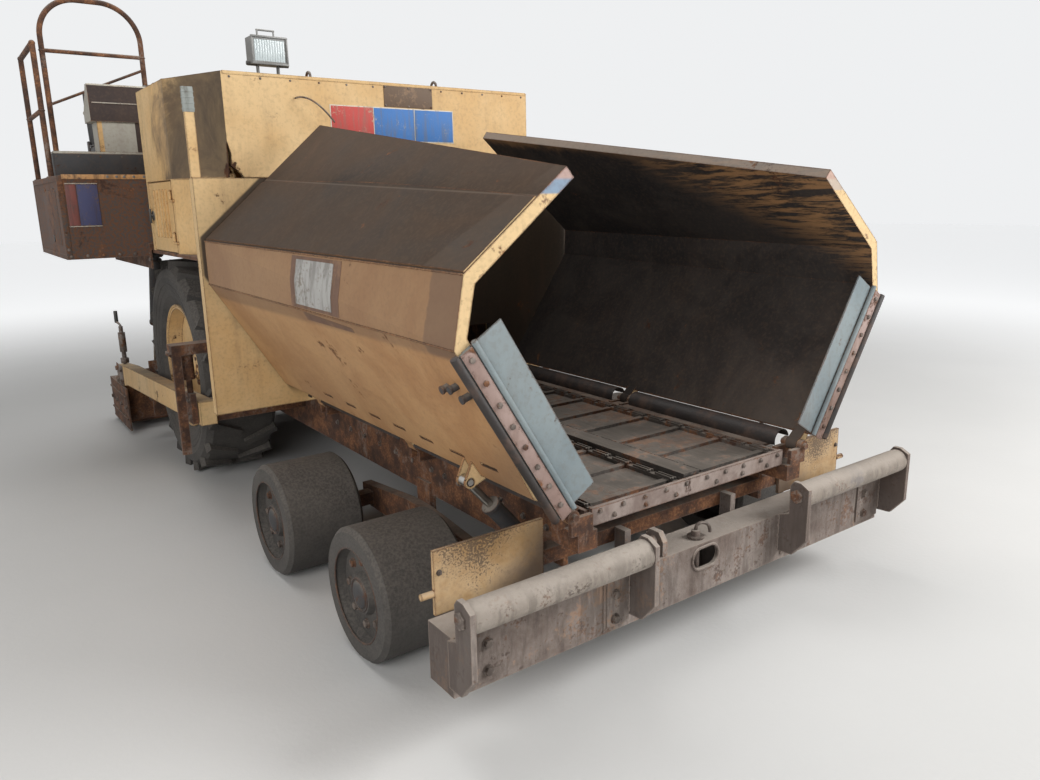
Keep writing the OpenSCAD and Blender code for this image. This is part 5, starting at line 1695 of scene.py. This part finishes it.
# %% Screed and arms
SPINDLE = (1185, 4960)
arm_bits = [
    block("arm_pad", (1229, 4840, 385), (1233, 5085, 540), 2),
    rod("spindle", (*SPINDLE, 540), (*SPINDLE, 850), 16, 24, 1.5),
    rod("spindle_nut", (*SPINDLE, 548), (*SPINDLE, 590), 34, 6, 3),
    rod("spindle_tube", (*SPINDLE, 640), (*SPINDLE, 800), 27, 24, 2),
    wire("crank", [(*SPINDLE, 848), (*SPINDLE, 862), (1185, 5000, 866), (1185, 5110, 866)], 9),
]
for z in range(596, 641, 5):
    arm_bits.append(ring("thread", (*SPINDLE, z), UPWARD, 16, 2, 20, 6))
both_sides(joined("arm_spindle", arm_bits), "screed", "worn_steel", bolt_steel)
grip = rod("crank_grip", (1185, 5108, 862), (1185, 5108, 960), 15, 20, 4)
both_sides(grip, "screed", "black_plastic", black_plastic)
arm_places = [(1230, y, z) for y, z in ((4880, 410), (4880, 510), (5040, 410), (5040, 500))]
bolts("arm_bolts", "screed", 22, alone(arm_places, OUTWARD), mirrored="screed")
covers, cover_places = [], []
for x0, x1 in ((30, 590), (610, 905), (1000, 1125)):
    covers.append(block("cover", (x0, 4870, 379), (x1, 5330, 391), 3))
    covers.append(block("cover_rib", (x0 + 20, 5090, 389), (x1 - 20, 5110, 399), 3))
    cover_places += [(x, y, 391) for x in (x0 + 30, x1 - 30) for y in (4890, 5310)]
both_sides(joined("screed_covers", covers), "screed", "rusty_paint", rust_brown)
bolts("screed_bolts", "screed", 11, alone(cover_places, UPWARD), mirrored="screed")
ARCH = ((-60, 390), (-60, 425), (-45, 440), (45, 440), (60, 425), (60, 390))
handles = [wire("handle", [(x + dx, 5220, z) for dx, z in ARCH], 7) for x in (310, 755)]
both_sides(joined("cover_handles", handles), "screed", "worn_steel", bolt_steel)
bars = [
    block("grate", (-1090, y, 369), (1090, y + 4, 377), 1) for y in range(5362, 5533, 19)
]
bars += [
    block("grate", (x, 5360, 369), (x + 4, 5520, 375), 1) for x in range(-1090, 1199, 109)
]
settle(joined("walkway_grating", bars), "screed", "rusty_paint", rust_brown)
gate = [
    block("gate_rib", (1249, 4720, 120), (1262, 5330, 135), 3),
    block("gate_rib", (1249, 4720, 300), (1262, 5330, 315), 3),
    block("gate_shoe", (1236, 4690, 36), (1252, 5360, 52), 5),
]
both_sides(joined("gate_ribs", gate), "screed", "rusty_paint", rust_brown)
bolts(
    "gate_bolts", "screed", 16, [
        ((1250, 4760, 220), (1250, 5300, 220), 4, OUTWARD),
        ((1160, 5350, 120), (130, 5350, 120), 7, REARWARD),
    ], mirrored="screed",
)
reflector = block("reflector", (1130, 5349, 250), (1190, 5357, 310), 3)
both_sides(reflector, "screed", "lamp_aluminium", lamp_red)
LIFT_TOP, LIFT_FOOT = (4530, 1440), (4950, 480)
LIFT_X, LIFT_WAY = 950, heading(LIFT_TOP, LIFT_FOOT)
WING_PIN, WING_WAY = (640, 500), heading((640, 500), (900, 800))


def on_lift(distance, off=0.0):
    """A place so far down the lift cylinder from its upper pin, and so far behind its axis."""
    return (LIFT_X, *beside(LIFT_TOP, LIFT_WAY, distance, off))


def on_wing_cylinder(distance, off=0.0):
    """A place so far up the wing cylinder from its lower pin, and so far inward of its axis."""
    x, z = beside(WING_PIN, WING_WAY, distance, off)
    return (x, 200, z)


gland = [
    rod("gland", on_lift(596), on_lift(621), 50, 40, 3),
    rod("cap", on_lift(50), on_lift(70), 49, 40, 3),
]
for distance in (96, 572):
    gland.append(rod("port", on_lift(distance, 38), on_lift(distance, 62), 15, 6, 1))
    gland.append(rod("plug", on_lift(distance, 60), on_lift(distance, 72), 10, 16, 1))
lift_gland = joined("lift_gland", gland)
both_sides(lift_gland, ("lift_barrel_left", "lift_barrel_right"), "dark_paint", dark_paint)
ends = [
    rod("gland", on_wing_cylinder(226), on_wing_cylinder(242), 39, 32, 2),
    rod("port", on_wing_cylinder(215, 30), on_wing_cylinder(215, 50), 10, 6, 1),
]
wing_gland = joined("wing_gland", ends)
both_sides(wing_gland, ("wing_barrel_left", "wing_barrel_right"), "dark_paint", dark_paint)
pins = []
for x, out in ((900, -1), (1000, 1)):
    pins.append(rod("pin_head", (x - out, *LIFT_TOP), (x + 7 * out, *LIFT_TOP), 25, 24, 2))
both_sides(joined("lift_pin_heads", pins), "chassis", "worn_steel", bolt_steel)
bolts(
    "gearbox_bolts", "chassis", 12, [
        ((-42, 4660, 262), (42, 4660, 262), 3, REARWARD),
        ((-42, 4660, 398), (42, 4660, 398), 3, REARWARD),
        ((-42, 4660, 330), (42, 4660, 330), 2, REARWARD),
        ((-40, 4460, 420), (40, 4460, 420), 2, UPWARD),
        ((-40, 4600, 420), (40, 4600, 420), 2, UPWARD),
    ],
)
bolts(
    "guide_bolts", "chassis", 14, [
        ((1270, 2590, 600), (1270, 2650, 600), 2, OUTWARD),
        ((1270, 2590, 700), (1270, 2650, 700), 2, OUTWARD),
        ((1345, 2580, 980), (1345, 2640, 980), 2, OUTWARD),
    ], mirrored="chassis",
)
print("screed dressed")
